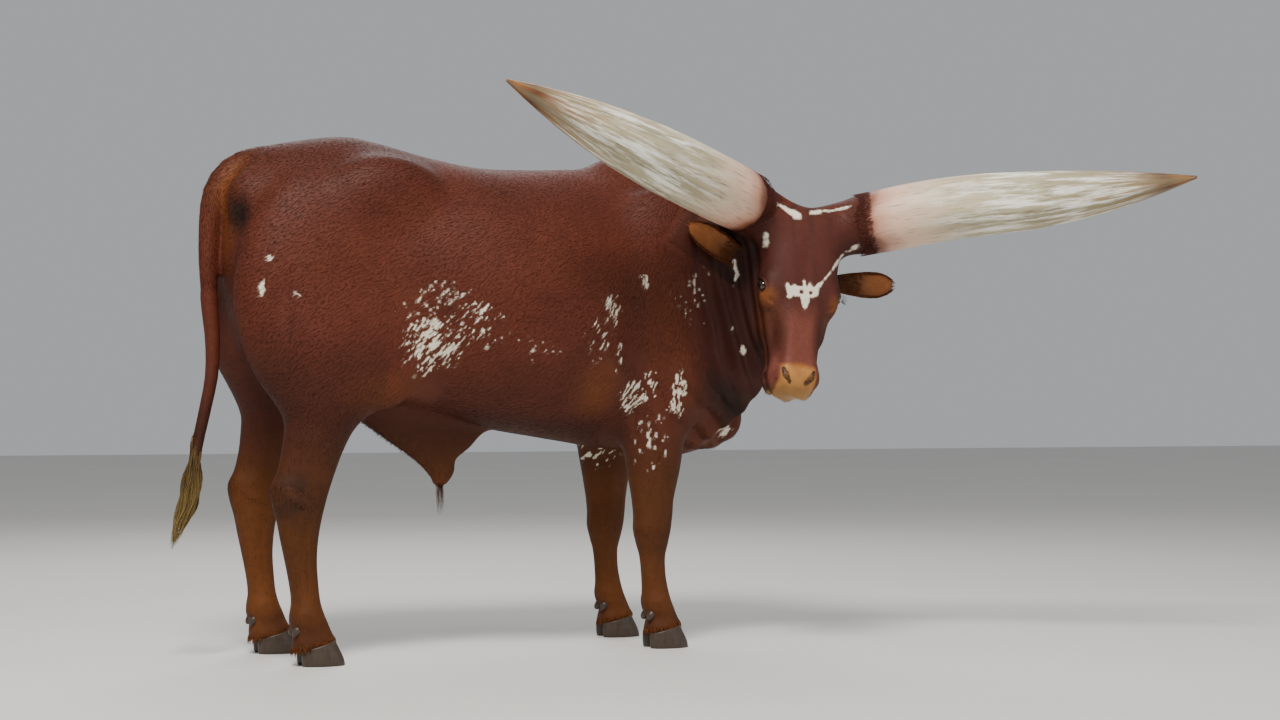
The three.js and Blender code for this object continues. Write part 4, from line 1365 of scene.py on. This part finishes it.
def claw_material():
    """Hoof horn: dark slate-brown keratin, with growth rings about 3 mm apart and upright streaks."""
    material, tree, shader = surface("hoof_horn", Roughness=0.45)
    place = add(tree, "ShaderNodeTexCoord").outputs["Object"]
    upright = add(tree, "ShaderNodeMapping", {"Vector": place, "Scale": (1, 1, 0.12)}).outputs[0]
    streaks = add(tree, "ShaderNodeTexNoise", {"Vector": upright, "Scale": 1 / 0.006, "Detail": 4.0})
    growth = {"Vector": place, "Scale": 1 / 0.06, "Distortion": 1.5, "Detail": 2.0}
    rings = add(tree, "ShaderNodeTexWave", growth, bands_direction="Z")
    tone = mixed(tree, streaks.outputs["Fac"], "#1e1712", "#4a3a2c")
    tree.links.new(tone, shader.inputs["Base Color"])
    bumped(tree, shader, rings.outputs["Fac"], 0.4, 0.001)
    return material


def eye_material():
    """Wet eye: dark brown iris with fine threads, under a clear glossy cornea."""
    gloss = {"Roughness": 0.12, "Coat_Weight": 1.0, "Coat_Roughness": 0.02, "IOR": 1.38}
    material, tree, shader = surface("wet_eye", **gloss)
    mottled(tree, shader, "tone", 0.0015, 3.0, 0.7, 1.3)
    return material


# Horns, claws and eyes

# Horns: their middle lines in the head's frame, and their radii and colours at shares of their length.
HORN_AXES = {
    -1: [(-200, -40, -238), (-385, 90, -250), (-572, 205, -266), (-796, 318, -297), (-1003, 415, -330)],
    1: [(203, -40, -236), (396, 90, -282), (606, 205, -314), (818, 318, -354), (1004, 415, -398)],
}
HORN_RADII = [[0, 94], [0.15, 94], [0.38, 91], [0.58, 78], [0.76, 54], [0.9, 27], [1, 4]]
HORN_TONES = [
    (0.0, "#5a2e22"),
    (0.022, "#84533f"),
    (0.045, "#bf8e78"),
    (0.10, "#dbb59c"),
    (0.17, "#d3b99f"),
    (0.28, "#c2b496"),
    (0.5, "#b5ac8e"),
    (0.7, "#ab9876"),
    (0.82, "#8f6b45"),
    (0.91, "#5a3017"),
    (0.97, "#8f5620"),
    (1.0, "#5f3416"),
]


def ring_faces(rings, sides):
    """Faces of a closed round form: rings of points, then the middles of its first and last ends."""
    faces, last = [], (rings - 1) * sides
    for i in range(0, last, sides):
        for j in range(sides):
            k = (j + 1) % sides
            faces.append([i + j, i + k, i + sides + k, i + sides + j])
    for j in range(sides):
        k = (j + 1) % sides
        faces.append([rings * sides, k, j])
        faces.append([rings * sides + 1, last + j, last + k])
    return faces


def swept(path, radii, sides):
    """A closed round form along a path: its points by rings, its faces and the angles round a ring."""
    ahead = np.gradient(path, axis=0)
    ahead /= np.linalg.norm(ahead, axis=1)[:, None]
    first = np.cross(ahead[0], [0, 0, 1.0])
    frames = []
    for a in ahead:
        first = direction(first - a * (first @ a))
        frames.append((first, np.cross(a, first)))
    angle = np.linspace(0, 2 * math.pi, sides, endpoint=False)
    rings = [
        c + r * (np.cos(angle)[:, None] * u + np.sin(angle)[:, None] * v)
        for c, r, (u, v) in zip(path, radii, frames)
    ]
    return np.vstack(rings + [path[:1], path[-1:]]), ring_faces(len(path), sides), angle


def horn_path(side, count):
    """Points along the middle of a horn, in equal steps."""
    return even([in_head(*point) for point in HORN_AXES[side]], count)


def make_horn(side):
    """One horn, ridged along its length, with growth swellings near its base."""
    count, sides = 230, 88
    path = horn_path(side, count)
    share = np.linspace(0, 1, count)
    radii = profile(HORN_RADII)(share)[1]
    length = np.linalg.norm(np.diff(path, axis=0), axis=1).sum()
    verts, faces, angle = swept(path, radii, sides)
    along = np.repeat(share, sides)
    turn = np.tile(angle, count)
    core = np.repeat(path, sides, axis=0)
    out = verts[: count * sides] - core
    grain = np.stack([along * length * 0.09, 80 * np.cos(turn), 80 * np.sin(turn)], 1)
    ridges = noise(grain + [side * 300, 0, 0], 9, 31, 3) - 0.5
    sheets = step(noise(grain + [side * 300, 50, 0], 22, 33, 3), 0.5, 0.56)
    swell = noise(np.stack([along * length, turn * 0, turn * 0], 1), 60, 35, 2) - 0.5
    fade = 1 - step(along, 0.75, 0.95)
    rise = fade * (2.4 * ridges - 1.1 * sheets * step(along, 0.12, 0.3))
    rise += 3.0 * swell * (1 - step(along, 0.2, 0.5))
    rise -= 2.6 * np.exp(-((along / 0.035) ** 2))
    size = np.linalg.norm(out, axis=1)
    verts[: count * sides] = core + out * (1 + np.maximum(rise, -0.3 * size) / size)[:, None]
    tones = np.array([srgb(t) for _, t in HORN_TONES])
    keys = [k for k, _ in HORN_TONES]
    drift = along + 0.05 * (noise(grain, 40, 36) - 0.5)
    colour = np.stack([np.interp(drift, keys, tones[:, k]) for k in range(3)], 1)
    green = noise(grain, 30, 37)
    colour = toward(colour, srgb("#7f7b5c"), 0.5 * step(green, 0.4, 0.7) * step(along, 0.15, 0.3))
    flaky = step(drift, 0.12, 0.4) * (1 - step(drift, 0.74, 0.9))
    flaky *= 0.45 + 0.55 * step(noise(grain, 45, 39), 0.3, 0.6)
    obj = mesh_object(f"horn_{WORDS[side]}_keratin", verts, faces)
    # The last two points close the ends.
    pad = [(0, 2), (0, 0)]
    paint(obj, "tone", np.pad(colour, pad, mode="edge"))
    paint(obj, "flaky", np.pad(flaky, pad[0], mode="edge"), "FLOAT")
    paint(obj, "grain", np.pad(grain / 1000, pad, mode="edge"), "FLOAT_VECTOR")
    return obj


# Heights of a claw, with its heel, its toe and half its width at each.
CLAW_ROWS = [[0, -52, 68, 27], [22, -54, 62, 28], [55, -52, 46, 26], [100, -48, 24, 23]]
CLAW_HALF_GAP = 3


def make_claw(name, foot_x, foot_y, out):
    """One claw, from its flat sole to the sloped hairline."""
    sides, levels = 44, 24
    rows = profile(CLAW_ROWS)
    angle = np.linspace(0, 2 * math.pi, sides, endpoint=False)
    slope = math.tan(CORONET_SLOPE)
    rings = []
    for level in range(levels):
        share = level / (levels - 1)
        x = np.full(sides, 0.0)
        for _ in range(3):
            z = share * (CORONET_Z - 0.2 + slope * x)
            _, heel, toe, half = rows(z)
            x = (toe + heel) / 2 + (toe - heel) / 2 * np.cos(angle)
        outside = np.sin(angle) * out > 0
        width = np.where(outside, half * 1.1, half * 0.55 + 8)
        y = out * (CLAW_HALF_GAP + half * 0.55 + 8) + width * np.sin(angle)
        y += out * 0.06 * (np.cos(angle) + 1) * half
        # The sole's edge is a little rounded.
        tuck = 1.6 * (1 - step(z, 0, 4))
        x = x - tuck * np.cos(angle)
        y = y - tuck * np.sin(angle)
        rings.append(np.stack([foot_x + x, foot_y + y, z], 1))
    verts = np.vstack(rings + [rings[0].mean(0)[None], rings[-1].mean(0)[None]])
    return mesh_object(name, verts, ring_faces(levels, sides))


def make_dewclaw(name, foot_x, foot_y, out, rear):
    """The small horn cap behind the fetlock."""
    root = np.array([foot_x + rear + 21, foot_y + out * 19, 108.0])
    tip = np.array([foot_x + rear + 3, foot_y + out * 24, 84.0])
    share = np.linspace(0, 1, 14)
    radii = profile([[0, 12], [0.5, 12], [0.85, 8], [1, 3]])(share)[1]
    verts, faces, _ = swept(root + share[:, None] * (tip - root), radii, 20)
    return mesh_object(name, verts, faces)


def make_eye(side):
    """An eyeball with a wide dark pupil lying level, a brown iris and a swelling cornea."""
    front_rings, back_rings, sides = 28, 12, 56
    rings = front_rings + back_rings
    cornea, white = np.linspace(0.02, 1.0, front_rings), np.linspace(1.06, math.pi - 0.05, back_rings)
    polar = np.concatenate([cornea, white])
    angle = np.linspace(0, 2 * math.pi, sides, endpoint=False)
    a, b = np.meshgrid(polar, angle, indexing="ij")
    radius = EYE_RADIUS * (1 + CORNEA_RISE * np.exp(-((a / 0.55) ** 4)))
    flat = radius * np.sin(a)
    local = np.stack([radius * np.cos(a), flat * np.cos(b), flat * np.sin(b)], -1)
    poles = [[EYE_RADIUS * (1 + CORNEA_RISE), 0, 0], [-EYE_RADIUS, 0, 0]]
    local = np.vstack([local.reshape(-1, 3), poles])
    verts = eye_centre(side) + local @ eye_frame(side)
    # The rings turn the other way here, so the faces do too.
    faces = [face[:1] + face[:0:-1] for face in ring_faces(rings, sides)]
    out = np.hypot(local[:, 1], local[:, 2])
    pupil = np.hypot(local[:, 1] / 8.6, local[:, 2] / 5.4)
    colour = layered(
        np.tile(srgb("#2c180e"), (len(verts), 1)),
        (srgb("#4a2c1a"), step(out, 8, 12) * 0.5),
        (srgb("#0b0706"), 1 - step(pupil, 0.92, 1.08)),
        (srgb("#140b08"), step(out, 12.2, 13.6)),
        (srgb("#5b463a"), step(out, 14.5, 16.5) + (local[:, 0] < 0)),
    )
    obj = mesh_object("eyeball_" + WORDS[side], verts, faces)
    paint(obj, "tone", colour)
    return obj


# Hair


def places(p):
    """Where points lie on an unwrap of the skin, with a sheet round the axis of each part of the body."""
    h, n = head_coordinates(p), neck_coordinates(p)
    x, y, z = p.T
    sheets = []

    def sheet(mask, along, low, high, across, up, left, bottom, width, height):
        turn = np.arctan2(across, up) / (2 * math.pi) + 0.5
        u = left + width * (0.03 + 0.94 * turn)
        v = bottom + height * (0.03 + 0.94 * np.clip((along - low) / (high - low), 0, 1))
        sheets.append((mask, np.stack([u, v], 1)))

    sheet(np.ones(len(p), bool), x, -1360, 340, y, z - 1040, 0.0, 0.40, 0.60, 0.60)
    sheet((n[:, 0] > 110) & (x > -60), n[:, 0], 100, 520, n[:, 1], n[:, 2] + 60, 0.60, 0.62, 0.40, 0.38)
    on_head = away(p, in_head(0, -110, 20)) < 350
    sheet(on_head & (h[:, 2] > -260), h[:, 0], -300, 330, h[:, 1], h[:, 2] + 100, 0.60, 0.30, 0.40, 0.32)
    for i, (fore, side) in enumerate(((True, -1), (True, 1), (False, -1), (False, 1))):
        mask = (z < 600) & ((x > -520) == fore) & ((y > 0) == (side > 0)) & (np.abs(y) > 60) & (x > -1290)
        middle = -10 - FORELEG.back[side] if fore else -1080 - HINDLEG.back[side]
        sheet(mask, z, 40, 600, y - side * 168, x - middle, 0.15 * i, 0.0, 0.15, 0.40)
    sheet((x < -1285) & (z < 1330), z, 300, 1340, y, x + 1318, 0.60, 0.0, 0.12, 0.30)
    for side in (-1, 1):
        e = ear_coordinates(p, side)
        mask = beside_ear(e, 0, 300, 80, 70)
        sheet(mask, e[:, 0], 0, 260, e[:, 1], e[:, 2], 0.74 + 0.07 * (side > 0), 0.0, 0.07, 0.30)
    out = np.zeros((len(p), 2))
    for mask, uv in sheets:
        out[mask] = uv[mask]
    return out


# Half of each tuft's patch on the unwrap.
PATCH = 0.0015


def strands(name, paths, widths, thick, up, colours, material):
    """Closed tapered locks along paths. paths is lock, step, xyz; up is out of each lock's flat side."""
    number, steps, _ = paths.shape
    ahead = paths[:, -1] - paths[:, 0]
    across = np.cross(up, ahead)
    across /= np.maximum(np.linalg.norm(across, axis=1), 1e-9)[:, None]
    rings = steps - 1
    w, t = widths[:, :rings, None], (widths * thick)[:, :rings, None]
    base = paths[:, :rings]
    ring = np.stack([base + across[:, None] * w, base + up[:, None] * t, base - across[:, None] * w], 2)
    verts = np.concatenate([ring.reshape(number, rings * 3, 3), paths[:, -1:]], 1)
    tris = [[0, 2, 1]]
    for i in range(0, rings * 3 - 3, 3):
        for j in range(3):
            k = (j + 1) % 3
            tris += [[i + j, i + k, i + 3 + k], [i + j, i + 3 + k, i + 3 + j]]
    last = (rings - 1) * 3
    tris += [[last + j, last + (j + 1) % 3, rings * 3] for j in range(3)]
    each = rings * 3 + 1
    triangles = (np.array(tris)[None] + (np.arange(number) * each)[:, None, None]).reshape(-1, 3)
    obj = fast_mesh(name, verts.reshape(-1, 3), triangles)
    if colours.ndim == 2:
        colours = np.repeat(colours[:, None], steps, 1)
    by_ring = np.repeat(colours[:, :rings], 3, axis=1)
    paint(obj, "coat", np.concatenate([by_ring, colours[:, -1:]], 1).reshape(-1, 3))
    side = np.tile([PATCH, 0, -PATCH], rings)
    rise = np.repeat(np.linspace(-PATCH, PATCH, steps)[:rings], 3) + np.tile([0, PATCH * 0.4, 0], rings)
    offset = np.vstack([np.stack([side, rise], 1), [[0, PATCH * 1.2]]])
    uv = (places(paths[:, 0])[:, None] + offset[None]).reshape(-1, 2)
    layer = obj.data.uv_layers.new(name="OFBake")
    layer.data.foreach_set("uv", uv[triangles.ravel()].astype(np.float32).ravel())
    obj.data.materials.append(material)
    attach(obj, "root")
    return obj


def unit(v):
    """The same directions, one long."""
    return v / np.maximum(np.linalg.norm(v, axis=1), 1e-9)[:, None]


def lie(p):
    """The way that the coat lies: back along the trunk, down the legs and face, out along the ears."""
    h, n = head_coordinates(p), neck_coordinates(p)
    flow = np.tile([-1.0, 0.0, -0.42], (len(p), 1))
    flow[:, 2] -= 0.5 * step(np.abs(p[:, 1]), 150, 300) * step(-p[:, 2], -1250, -850)
    leg = 1 - step(p[:, 2], 480, 820)
    flow = flow * (1 - leg)[:, None] + np.array([-0.12, 0, -1.0]) * leg[:, None]
    on_neck = step(n[:, 0], 40, 200)
    flow = flow * (1 - on_neck)[:, None] + (-0.7 * neck_along + [0, 0, -0.75]) * on_neck[:, None]
    on_head = 1 - step(away(p, MID_HEAD), 240, 320)
    down = step(h[:, 0], -50, 40)[:, None]
    face = HEAD @ np.array([0, 0, -1.0]) * (2 * down - 1)
    face = face + (h[:, 1] / 260)[:, None] * (HEAD @ np.array([0, 1.0, 0]))
    flow = flow * (1 - on_head)[:, None] + face * on_head[:, None]
    tail = ((p[:, 0] < -1285) & (p[:, 2] < 1330))[:, None]
    flow = np.where(tail, [0, 0, -1.0], flow)
    for side in (-1, 1):
        mask = beside_ear(ear_coordinates(p, side), 10, 300, 80, 70)
        flow = np.where(mask[:, None], ear_frame(side)[0], flow)
    return flow


def held(items, name, kind):
    """Three numbers of each item of a mesh, as rows."""
    values = np.empty(len(items) * 3, kind)
    items.foreach_get(name, values)
    return values.reshape(-1, 3)


def make_coat(skin_object, material):
    """Short tufts lying flat all over the hide, longer where they break its outline."""
    mesh = skin_object.data
    mesh.calc_loop_triangles()
    tris = held(mesh.loop_triangles, "vertices", np.int32)
    co = (held(mesh.vertices, "co", np.float32).astype(float) - SHIFT) * 1000
    normals = held(mesh.vertex_normals, "vector", np.float32).astype(float)
    a, b, c = co[tris[:, 0]], co[tris[:, 1]], co[tris[:, 2]]
    middle = (a + b + c) / 3
    area = np.linalg.norm(np.cross(b - a, c - a), axis=1) / 2
    near_head = 1 - step(away(middle, MID_HEAD), 260, 360)
    low = 1 - step(middle[:, 2], 120, 420)
    weight = area * (1 + 2.2 * near_head + 0.9 * low) * (1 - bare_places(middle))
    weight *= above_claws(middle) > 4
    spaced = (np.arange(TUFTS) + rng.random(TUFTS)) / TUFTS
    pick = np.searchsorted(np.cumsum(weight) / weight.sum(), spaced)
    pick = np.clip(pick, 0, len(tris) - 1)
    s, t = np.sqrt(rng.random(TUFTS)), rng.random(TUFTS)
    mix = np.stack([1 - s, s * (1 - t), s * t], 1)
    p = np.einsum("ij,ijk->ik", mix, co[tris[pick]])
    n = unit(np.einsum("ij,ijk->ik", mix, normals[tris[pick]]))
    flow = lie(p)
    flow = unit(flow - n * (flow * n).sum(1)[:, None])
    sway = 0.5 * (noise(p, 90, 51) - 0.5) + rng.normal(0, 0.10, TUFTS)
    flow = flow * np.cos(sway)[:, None] + np.cross(n, flow) * np.sin(sway)[:, None]
    on_head = 1 - step(away(p, MID_HEAD), 250, 360)
    feet = 1 - step(p[:, 2], 90, 520)
    length = TUFT_LENGTH * (1 - 0.5 * on_head) * (1 - 0.4 * feet) * rng.uniform(0.75, 1.25, TUFTS)
    under = step(-n[:, 2], 0.45, 0.9) * (p[:, 2] > 430)
    length *= 1 + 0.6 * under
    height = inset(p) * rng.uniform(0.25, 0.6, TUFTS) + 0.5 * under
    root = p - n * 0.6
    tip = p + flow * length[:, None] + n * height[:, None]
    width = TUFT_HALF_WIDTH * (1 - 0.4 * on_head) * (1 - 0.3 * feet) * rng.uniform(0.8, 1.2, TUFTS)
    colour = markings_and_painted_light(p) * (1 + rng.normal(0, 0.09 + 0.10 * on_head, TUFTS))[:, None]
    colour = np.clip(colour, 0, 1)
    order = np.lexsort((p[:, 0], p[:, 2] < 560, on_head > 0.5))
    for i, part in enumerate(np.array_split(order, COAT_PIECES)):
        paths = np.stack([root[part], tip[part]], 1)
        widths = np.stack([width[part], width[part] * 0], 1)
        strands(f"coat_{i + 1}", paths, widths, 0.22, n[part], colour[part], material)


def straight(roots, directions, lengths, share):
    """Straight paths from their roots, with points at shares of their lengths."""
    return roots[:, None] + directions[:, None] * (lengths[:, None] * share)[..., None]


def bent(roots, directions, lengths, steps, fall, curl=0.0):
    """Paths that leave their roots in given directions, fall with their weight, and wave when curled."""
    share = np.linspace(0, 1, steps)
    run = straight(roots, directions, lengths, share)
    run[:, :, 2] -= fall * lengths[:, None] * share**2
    phase = rng.uniform(0, 6, len(roots))[:, None]
    run[:, :, 0] += curl * lengths[:, None] * np.sin(share * 5 + phase) * share
    return run


def tapered(count, steps, width, power=0.6):
    """Half widths of locks, from their roots to nothing at their tips."""
    share = np.linspace(0, 1, steps)
    return np.tile(width, (count, 1)) * ((1 - share) ** power)[None] * rng.uniform(0.7, 1.3, (count, 1))


# The switch's middle line, and its half width at shares of its length.
SWITCH_PATH = [
    [-1350, 0, 640],
    [-1357, 0, 570],
    [-1366, -2, 500],
    [-1376, 0, 440],
    [-1396, 3, 385],
    [-1420, 0, 318],
]
SWITCH_SPREAD = [[0, 13], [0.2, 16], [0.4, 27], [0.6, 29], [0.8, 20], [0.93, 9], [1, 2]]


def make_switch(material):
    """The long hair of the tail's end, in locks that hang and bend to the rear."""
    number, steps = 640, 14
    line = even(SWITCH_PATH, 60)
    start = rng.uniform(0, 0.34, number)
    end = np.clip(start + rng.uniform(0.45, 0.75, number), 0, 1)
    start, end = start[:, None], end[:, None]
    share = start + (end - start) * np.linspace(0, 1, steps)
    middle = np.stack([np.interp(share, np.linspace(0, 1, 60), line[:, k]) for k in range(3)], 2)
    spread = profile(SWITCH_SPREAD)(share.ravel())[1].reshape(share.shape)
    turn = rng.uniform(0, 2 * math.pi, (number, 1))
    turn = turn + rng.normal(0, 0.5, (number, 1)) * (share - start)
    out = np.sqrt(rng.uniform(0.05, 1, (number, 1))) * spread
    out *= np.clip((share - start) * 6 + 0.9 * (start < 0.3), 0.5, 1)
    paths = middle + np.stack([out * np.cos(turn), out * np.sin(turn), 0 * out], 2)
    paths[:, :, 0] += 2.5 * np.sin(share * 22 + turn * 3)
    widths = tapered(number, steps, 1.5, 0.5)
    dark, straw = srgb("#33200f"), srgb("#8d7647")
    tone = rng.uniform(0, 1, number)[:, None] * 0.55 + 0.6 * step(share, 0.25, 0.8)
    colours = dark + (straw - dark) * np.clip(tone - 0.1, 0, 1)[..., None]
    up = unit(np.stack([np.cos(turn[:, 0]), np.sin(turn[:, 0]), 0 * turn[:, 0]], 1))
    return strands("tail_switch_locks", paths, widths, 0.8, up, colours, material)


def make_wisp(material):
    """The hanging tuft at the sheath's end."""
    number = 90
    turn, out = rng.uniform(0, 2 * math.pi, number), rng.uniform(0, 1, number)
    height = 500 + 14 * rng.random(number)
    roots = np.stack([12 * out * np.cos(turn) - 642, 5 * out * np.sin(turn), height], 1)
    aim = unit(np.stack([0.10 * np.cos(turn) + 0.02, 0.06 * np.sin(turn), np.full(number, -1.0)], 1))
    lengths = rng.uniform(35, 118, number)
    paths = bent(roots, aim, lengths, 8, 0.0, 0.02)
    gather = 0.55 * np.linspace(0, 1, 8) ** 1.5
    paths[:, :, :2] += (np.array([-642, 0]) - paths[:, :, :2]) * gather[None, :, None]
    colours = toward(np.tile(DEEP, (number, 1)), TAN, rng.uniform(0, 0.7, number))
    widths, up = tapered(number, 8, 0.9), unit(np.cross(aim, [0, 1.0, 0.1]))
    strands("sheath_tuft", paths, widths, 0.8, up, colours, material)


def make_lashes(material):
    """The upper lashes of both eyes, and a few lower ones."""
    paths, ups = [], []
    for side in (-1, 1):
        rows = eye_frame(side)
        for low, high, number, reach, sign in ((22, 158, 34, 17, 1), (210, 330, 12, 8, -1)):
            turn = np.radians(np.linspace(low, high, number) + rng.normal(0, 1.2, number))
            ahead = np.full(number, EYE_RADIUS * 0.90 + 3.2)
            roots = np.stack([ahead, 18.5 * np.cos(turn), 12.6 * np.sin(turn)], 1) @ rows + eye_centre(side)
            rise = sign * (0.25 + 0.2 * rng.random(number))
            aim = unit(np.stack([np.ones(number), 0.35 * np.cos(turn), rise], 1) @ rows)
            length = reach * rng.uniform(0.75, 1.1, number)
            share = np.linspace(0, 1, 6)
            run = straight(roots, aim, length, share)
            run += rows[2] * sign * 0.28 * (length[:, None] * share**2)[..., None]
            paths.append(run)
            ups.append(np.tile(rows[2], (number, 1)))
    paths, ups = np.vstack(paths), np.vstack(ups)
    colours = np.tile(srgb("#120b09"), (len(paths), 1))
    strands("eyelashes", paths, tapered(len(paths), 6, 0.45), 0.9, ups, colours, material)


def make_ear_hair(material):
    """Hair of the ears' rims and of their hollows."""
    paths, ups, colours = [], [], []
    for side in (-1, 1):
        rows = ear_frame(side)
        for edge in (-1, 0, 1):
            number = 420 if edge else 200
            s = rng.uniform(48, 252, number) if edge else rng.uniform(45, 130, number)
            _, half, thick, curl = EAR_SHAPE(s)
            share = edge * rng.uniform(0.9, 1.0, number) if edge else rng.uniform(-0.8, 0.8, number)
            lift = curl * share**2 + (thick * 0.35 if edge else thick * 0.75)
            roots = ear_root(side) + np.stack([s, half * share, lift], 1) @ rows
            ahead = 0.75 + 0.4 * rng.random(number)
            inward = rng.normal(0, 0.12, number) - share * (0.55 if edge else 0.9)
            aim = np.stack([ahead, inward, 0.28 + 0.2 * rng.random(number)], 1)
            length = rng.uniform(9, 19, number) if edge else rng.uniform(12, 26, number)
            paths.append(bent(roots, unit(aim @ rows), length, 5, 0.10))
            ups.append(np.tile(rows[2], (number, 1)))
            base = np.tile(DEEP if edge else RED, (number, 1))
            colours.append(toward(base, TAN, rng.uniform(0.1, 0.9, number)))
    paths, ups, colours = np.vstack(paths), np.vstack(ups), np.vstack(colours)
    strands("ear_hair", paths, tapered(len(paths), 5, 0.7), 0.7, ups, colours, material)


def make_coronet_hair(material):
    """The fringe that hangs over the tops of the claws."""
    roots, aims, lengths = [], [], []
    for limb in (FORELEG, HINDLEG):
        for side in (-1, 1):
            number = 520
            x0, y0 = claw_place(limb, side)
            turn = rng.uniform(0, 2 * math.pi, number)
            out = np.stack([np.cos(turn), np.sin(turn)], 1)
            x = x0 + limb.fringe_x + limb.fringe_reach * out[:, 0]
            y = y0 + 45 * out[:, 1]
            z = CORONET_Z + math.tan(CORONET_SLOPE) * (x - x0) + rng.uniform(1, 14, number)
            roots.append(np.stack([x, y, z], 1))
            aims.append(np.column_stack([out * 0.26, np.full(number, -1.0)]))
            lengths.append(rng.uniform(9, 17, number))
    roots = settle(np.vstack(roots), whole_thin, 3, 14.0)
    aims = unit(np.vstack(aims))
    colours = toward(markings_and_painted_light(roots), TAN, rng.uniform(0, 0.5, len(roots)))
    paths = bent(roots, aims, np.concatenate(lengths), 5, 0.15)
    widths, flat = tapered(len(roots), 5, 0.9), unit(aims * [1, 1, 0])
    strands("coronet_fringe", paths, widths, 0.6, flat, colours, material)


def make_horn_fringe(material):
    """The coat's uneven edge where it runs out over the horns' bases."""
    paths, ups, colours = [], [], []
    for side in (-1, 1):
        path = horn_path(side, 60)
        axis = direction(path[1] - path[0])
        first = direction(np.cross(axis, [0, 0, 1.0]))
        second = np.cross(axis, first)
        number = 3600
        turn = rng.uniform(0, 2 * math.pi, number)
        out = np.cos(turn)[:, None] * first + np.sin(turn)[:, None] * second
        uneven = noise(out * 90 + [side * 500, 0, 0], 70, 81)
        back = rng.uniform(-34, 12, number) + 64 * (uneven - 0.5)
        roots = path[0] + out * (HORN_BASE_RADIUS - 3) + axis * np.minimum(back, 26)[:, None]
        length = rng.uniform(6, 13, number)
        share = np.linspace(0, 1, 5)
        run = straight(roots, axis[None], length, share)
        run += out[:, None] * (1.2 * np.sin(share * 2.2))[None, :, None]
        paths.append(run)
        ups.append(out)
        base = np.tile(srgb("#562a20"), (number, 1))
        colours.append(toward(base, DEEP, 0.55 * rng.random(number)))
    paths, ups, colours = np.vstack(paths), np.vstack(ups), np.vstack(colours)
    strands("horn_base_hair", paths, tapered(len(paths), 5, 0.9), 0.5, ups, colours, material)


# The animal is put together

verts, faces = make_skin()
skin = mesh_object("skin", verts, faces)
paint(skin, "coat", markings_and_painted_light(verts))
paint(skin, "bare", bare_places(verts), "FLOAT")
flesh = [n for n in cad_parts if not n.startswith(("horn", "claw", "dewclaw", "eye", "tail_switch"))]
skin.data.materials.append(hide_material())
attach(skin, "root")
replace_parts(skin, *flesh)

coat_hair = hair_material("short_coat_hair", 0.6)
long_hair = hair_material("coarse_tail_hair", 0.5)
make_coat(skin, coat_hair)
make_wisp(coat_hair)
make_lashes(coat_hair)
make_ear_hair(coat_hair)
make_coronet_hair(coat_hair)
make_horn_fringe(coat_hair)
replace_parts(make_switch(long_hair), "tail_switch")

horn_keratin, hoof_horn, wet_eye = horn_material(), claw_material(), eye_material()
for side, word in WORDS.items():
    for piece, node, slot, material in (
        (make_horn(side), "horn_" + word, "horn", horn_keratin),
        (make_eye(side), "eye_" + word, "eye", wet_eye),
    ):
        piece.data.materials.append(material)
        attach(piece, "root")
        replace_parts(piece, node)
    for limb in (FORELEG, HINDLEG):
        x, y = claw_place(limb, side)
        for place, out in (("outer", side), ("inner", -side)):
            ending = f"{limb.name}_{word}_{place}"
            for piece, node in (
                (make_claw("hoof_" + ending, x, y, out), "claw_" + ending),
                (make_dewclaw("dew_hoof_" + ending, x, y, out, limb.dewclaw_x), "dewclaw_" + ending),
            ):
                piece.data.materials.append(hoof_horn)
                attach(piece, "root")
                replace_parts(piece, node)


# Floor, light and camera


def make_stage():
    """A wide pale floor."""
    mesh = bpy.data.meshes.new("floor")
    mesh.from_pydata([(-30, -30, 0), (30, -30, 0), (30, 30, 0), (-30, 30, 0)], [], [(0, 1, 2, 3)])
    floor = placed("floor", mesh)
    material, tree, shader = surface("pale_studio_floor", Roughness=0.8)
    place = add(tree, "ShaderNodeTexCoord").outputs["Object"]
    clouds = add(tree, "ShaderNodeTexNoise", {"Vector": place, "Scale": 0.6, "Detail": 3.0})
    tone = mixed(tree, clouds.outputs["Fac"], "#cfcdc8", "#d8d6d2")
    tree.links.new(tone, shader.inputs["Base Color"])
    mesh.materials.append(material)


def make_light(name, place, target, size, energy, colour=(1, 1, 1)):
    """A square lamp of a size in metres, aimed at a target."""
    light = bpy.data.lights.new(name, "AREA")
    light.energy = energy
    light.size = size
    light.color = colour
    lamp = placed(name, light)
    lamp.location = place
    lamp.rotation_euler = (Vector(target) - Vector(place)).to_track_quat("-Z", "Y").to_euler()


def make_camera():
    """The view: from the animal's right and a little from behind, at chest height."""
    view_pixels, image_width, sensor = 1990, 1280, 36
    azimuth, distance, height, horizon_rise = math.radians(24), 6.10, 0.69, 55
    camera = bpy.data.cameras.new("camera")
    camera.sensor_width = sensor
    camera.lens = view_pixels * sensor / image_width
    holder = placed("camera", camera)
    x, y = -math.sin(azimuth) * distance, -math.cos(azimuth) * distance
    holder.location = SHIFT + [x, y, height]
    holder.rotation_euler = (math.pi / 2 + math.atan(horizon_rise / view_pixels), 0, -azimuth)
    bpy.context.scene.camera = holder


make_stage()
make_camera()
make_light("key", (-2.6, -3.4, 6.0), (-0.2, 0, 0.9), 1.9, 640, (1.0, 0.96, 0.90))
make_light("fill", (3.6, -4.4, 2.4), (0.3, -0.2, 0.9), 3.0, 40, (0.96, 0.98, 1.0))
make_light("rim", (0.5, 4.5, 4.8), (-0.3, 0, 1.1), 3.0, 150)
world = bpy.data.worlds.new("soft_daylight")
world.use_nodes = True
world.node_tree.nodes["Background"].inputs["Color"].default_value = (0.88, 0.90, 0.93, 1)
world.node_tree.nodes["Background"].inputs["Strength"].default_value = 0.46
bpy.context.scene.world = world
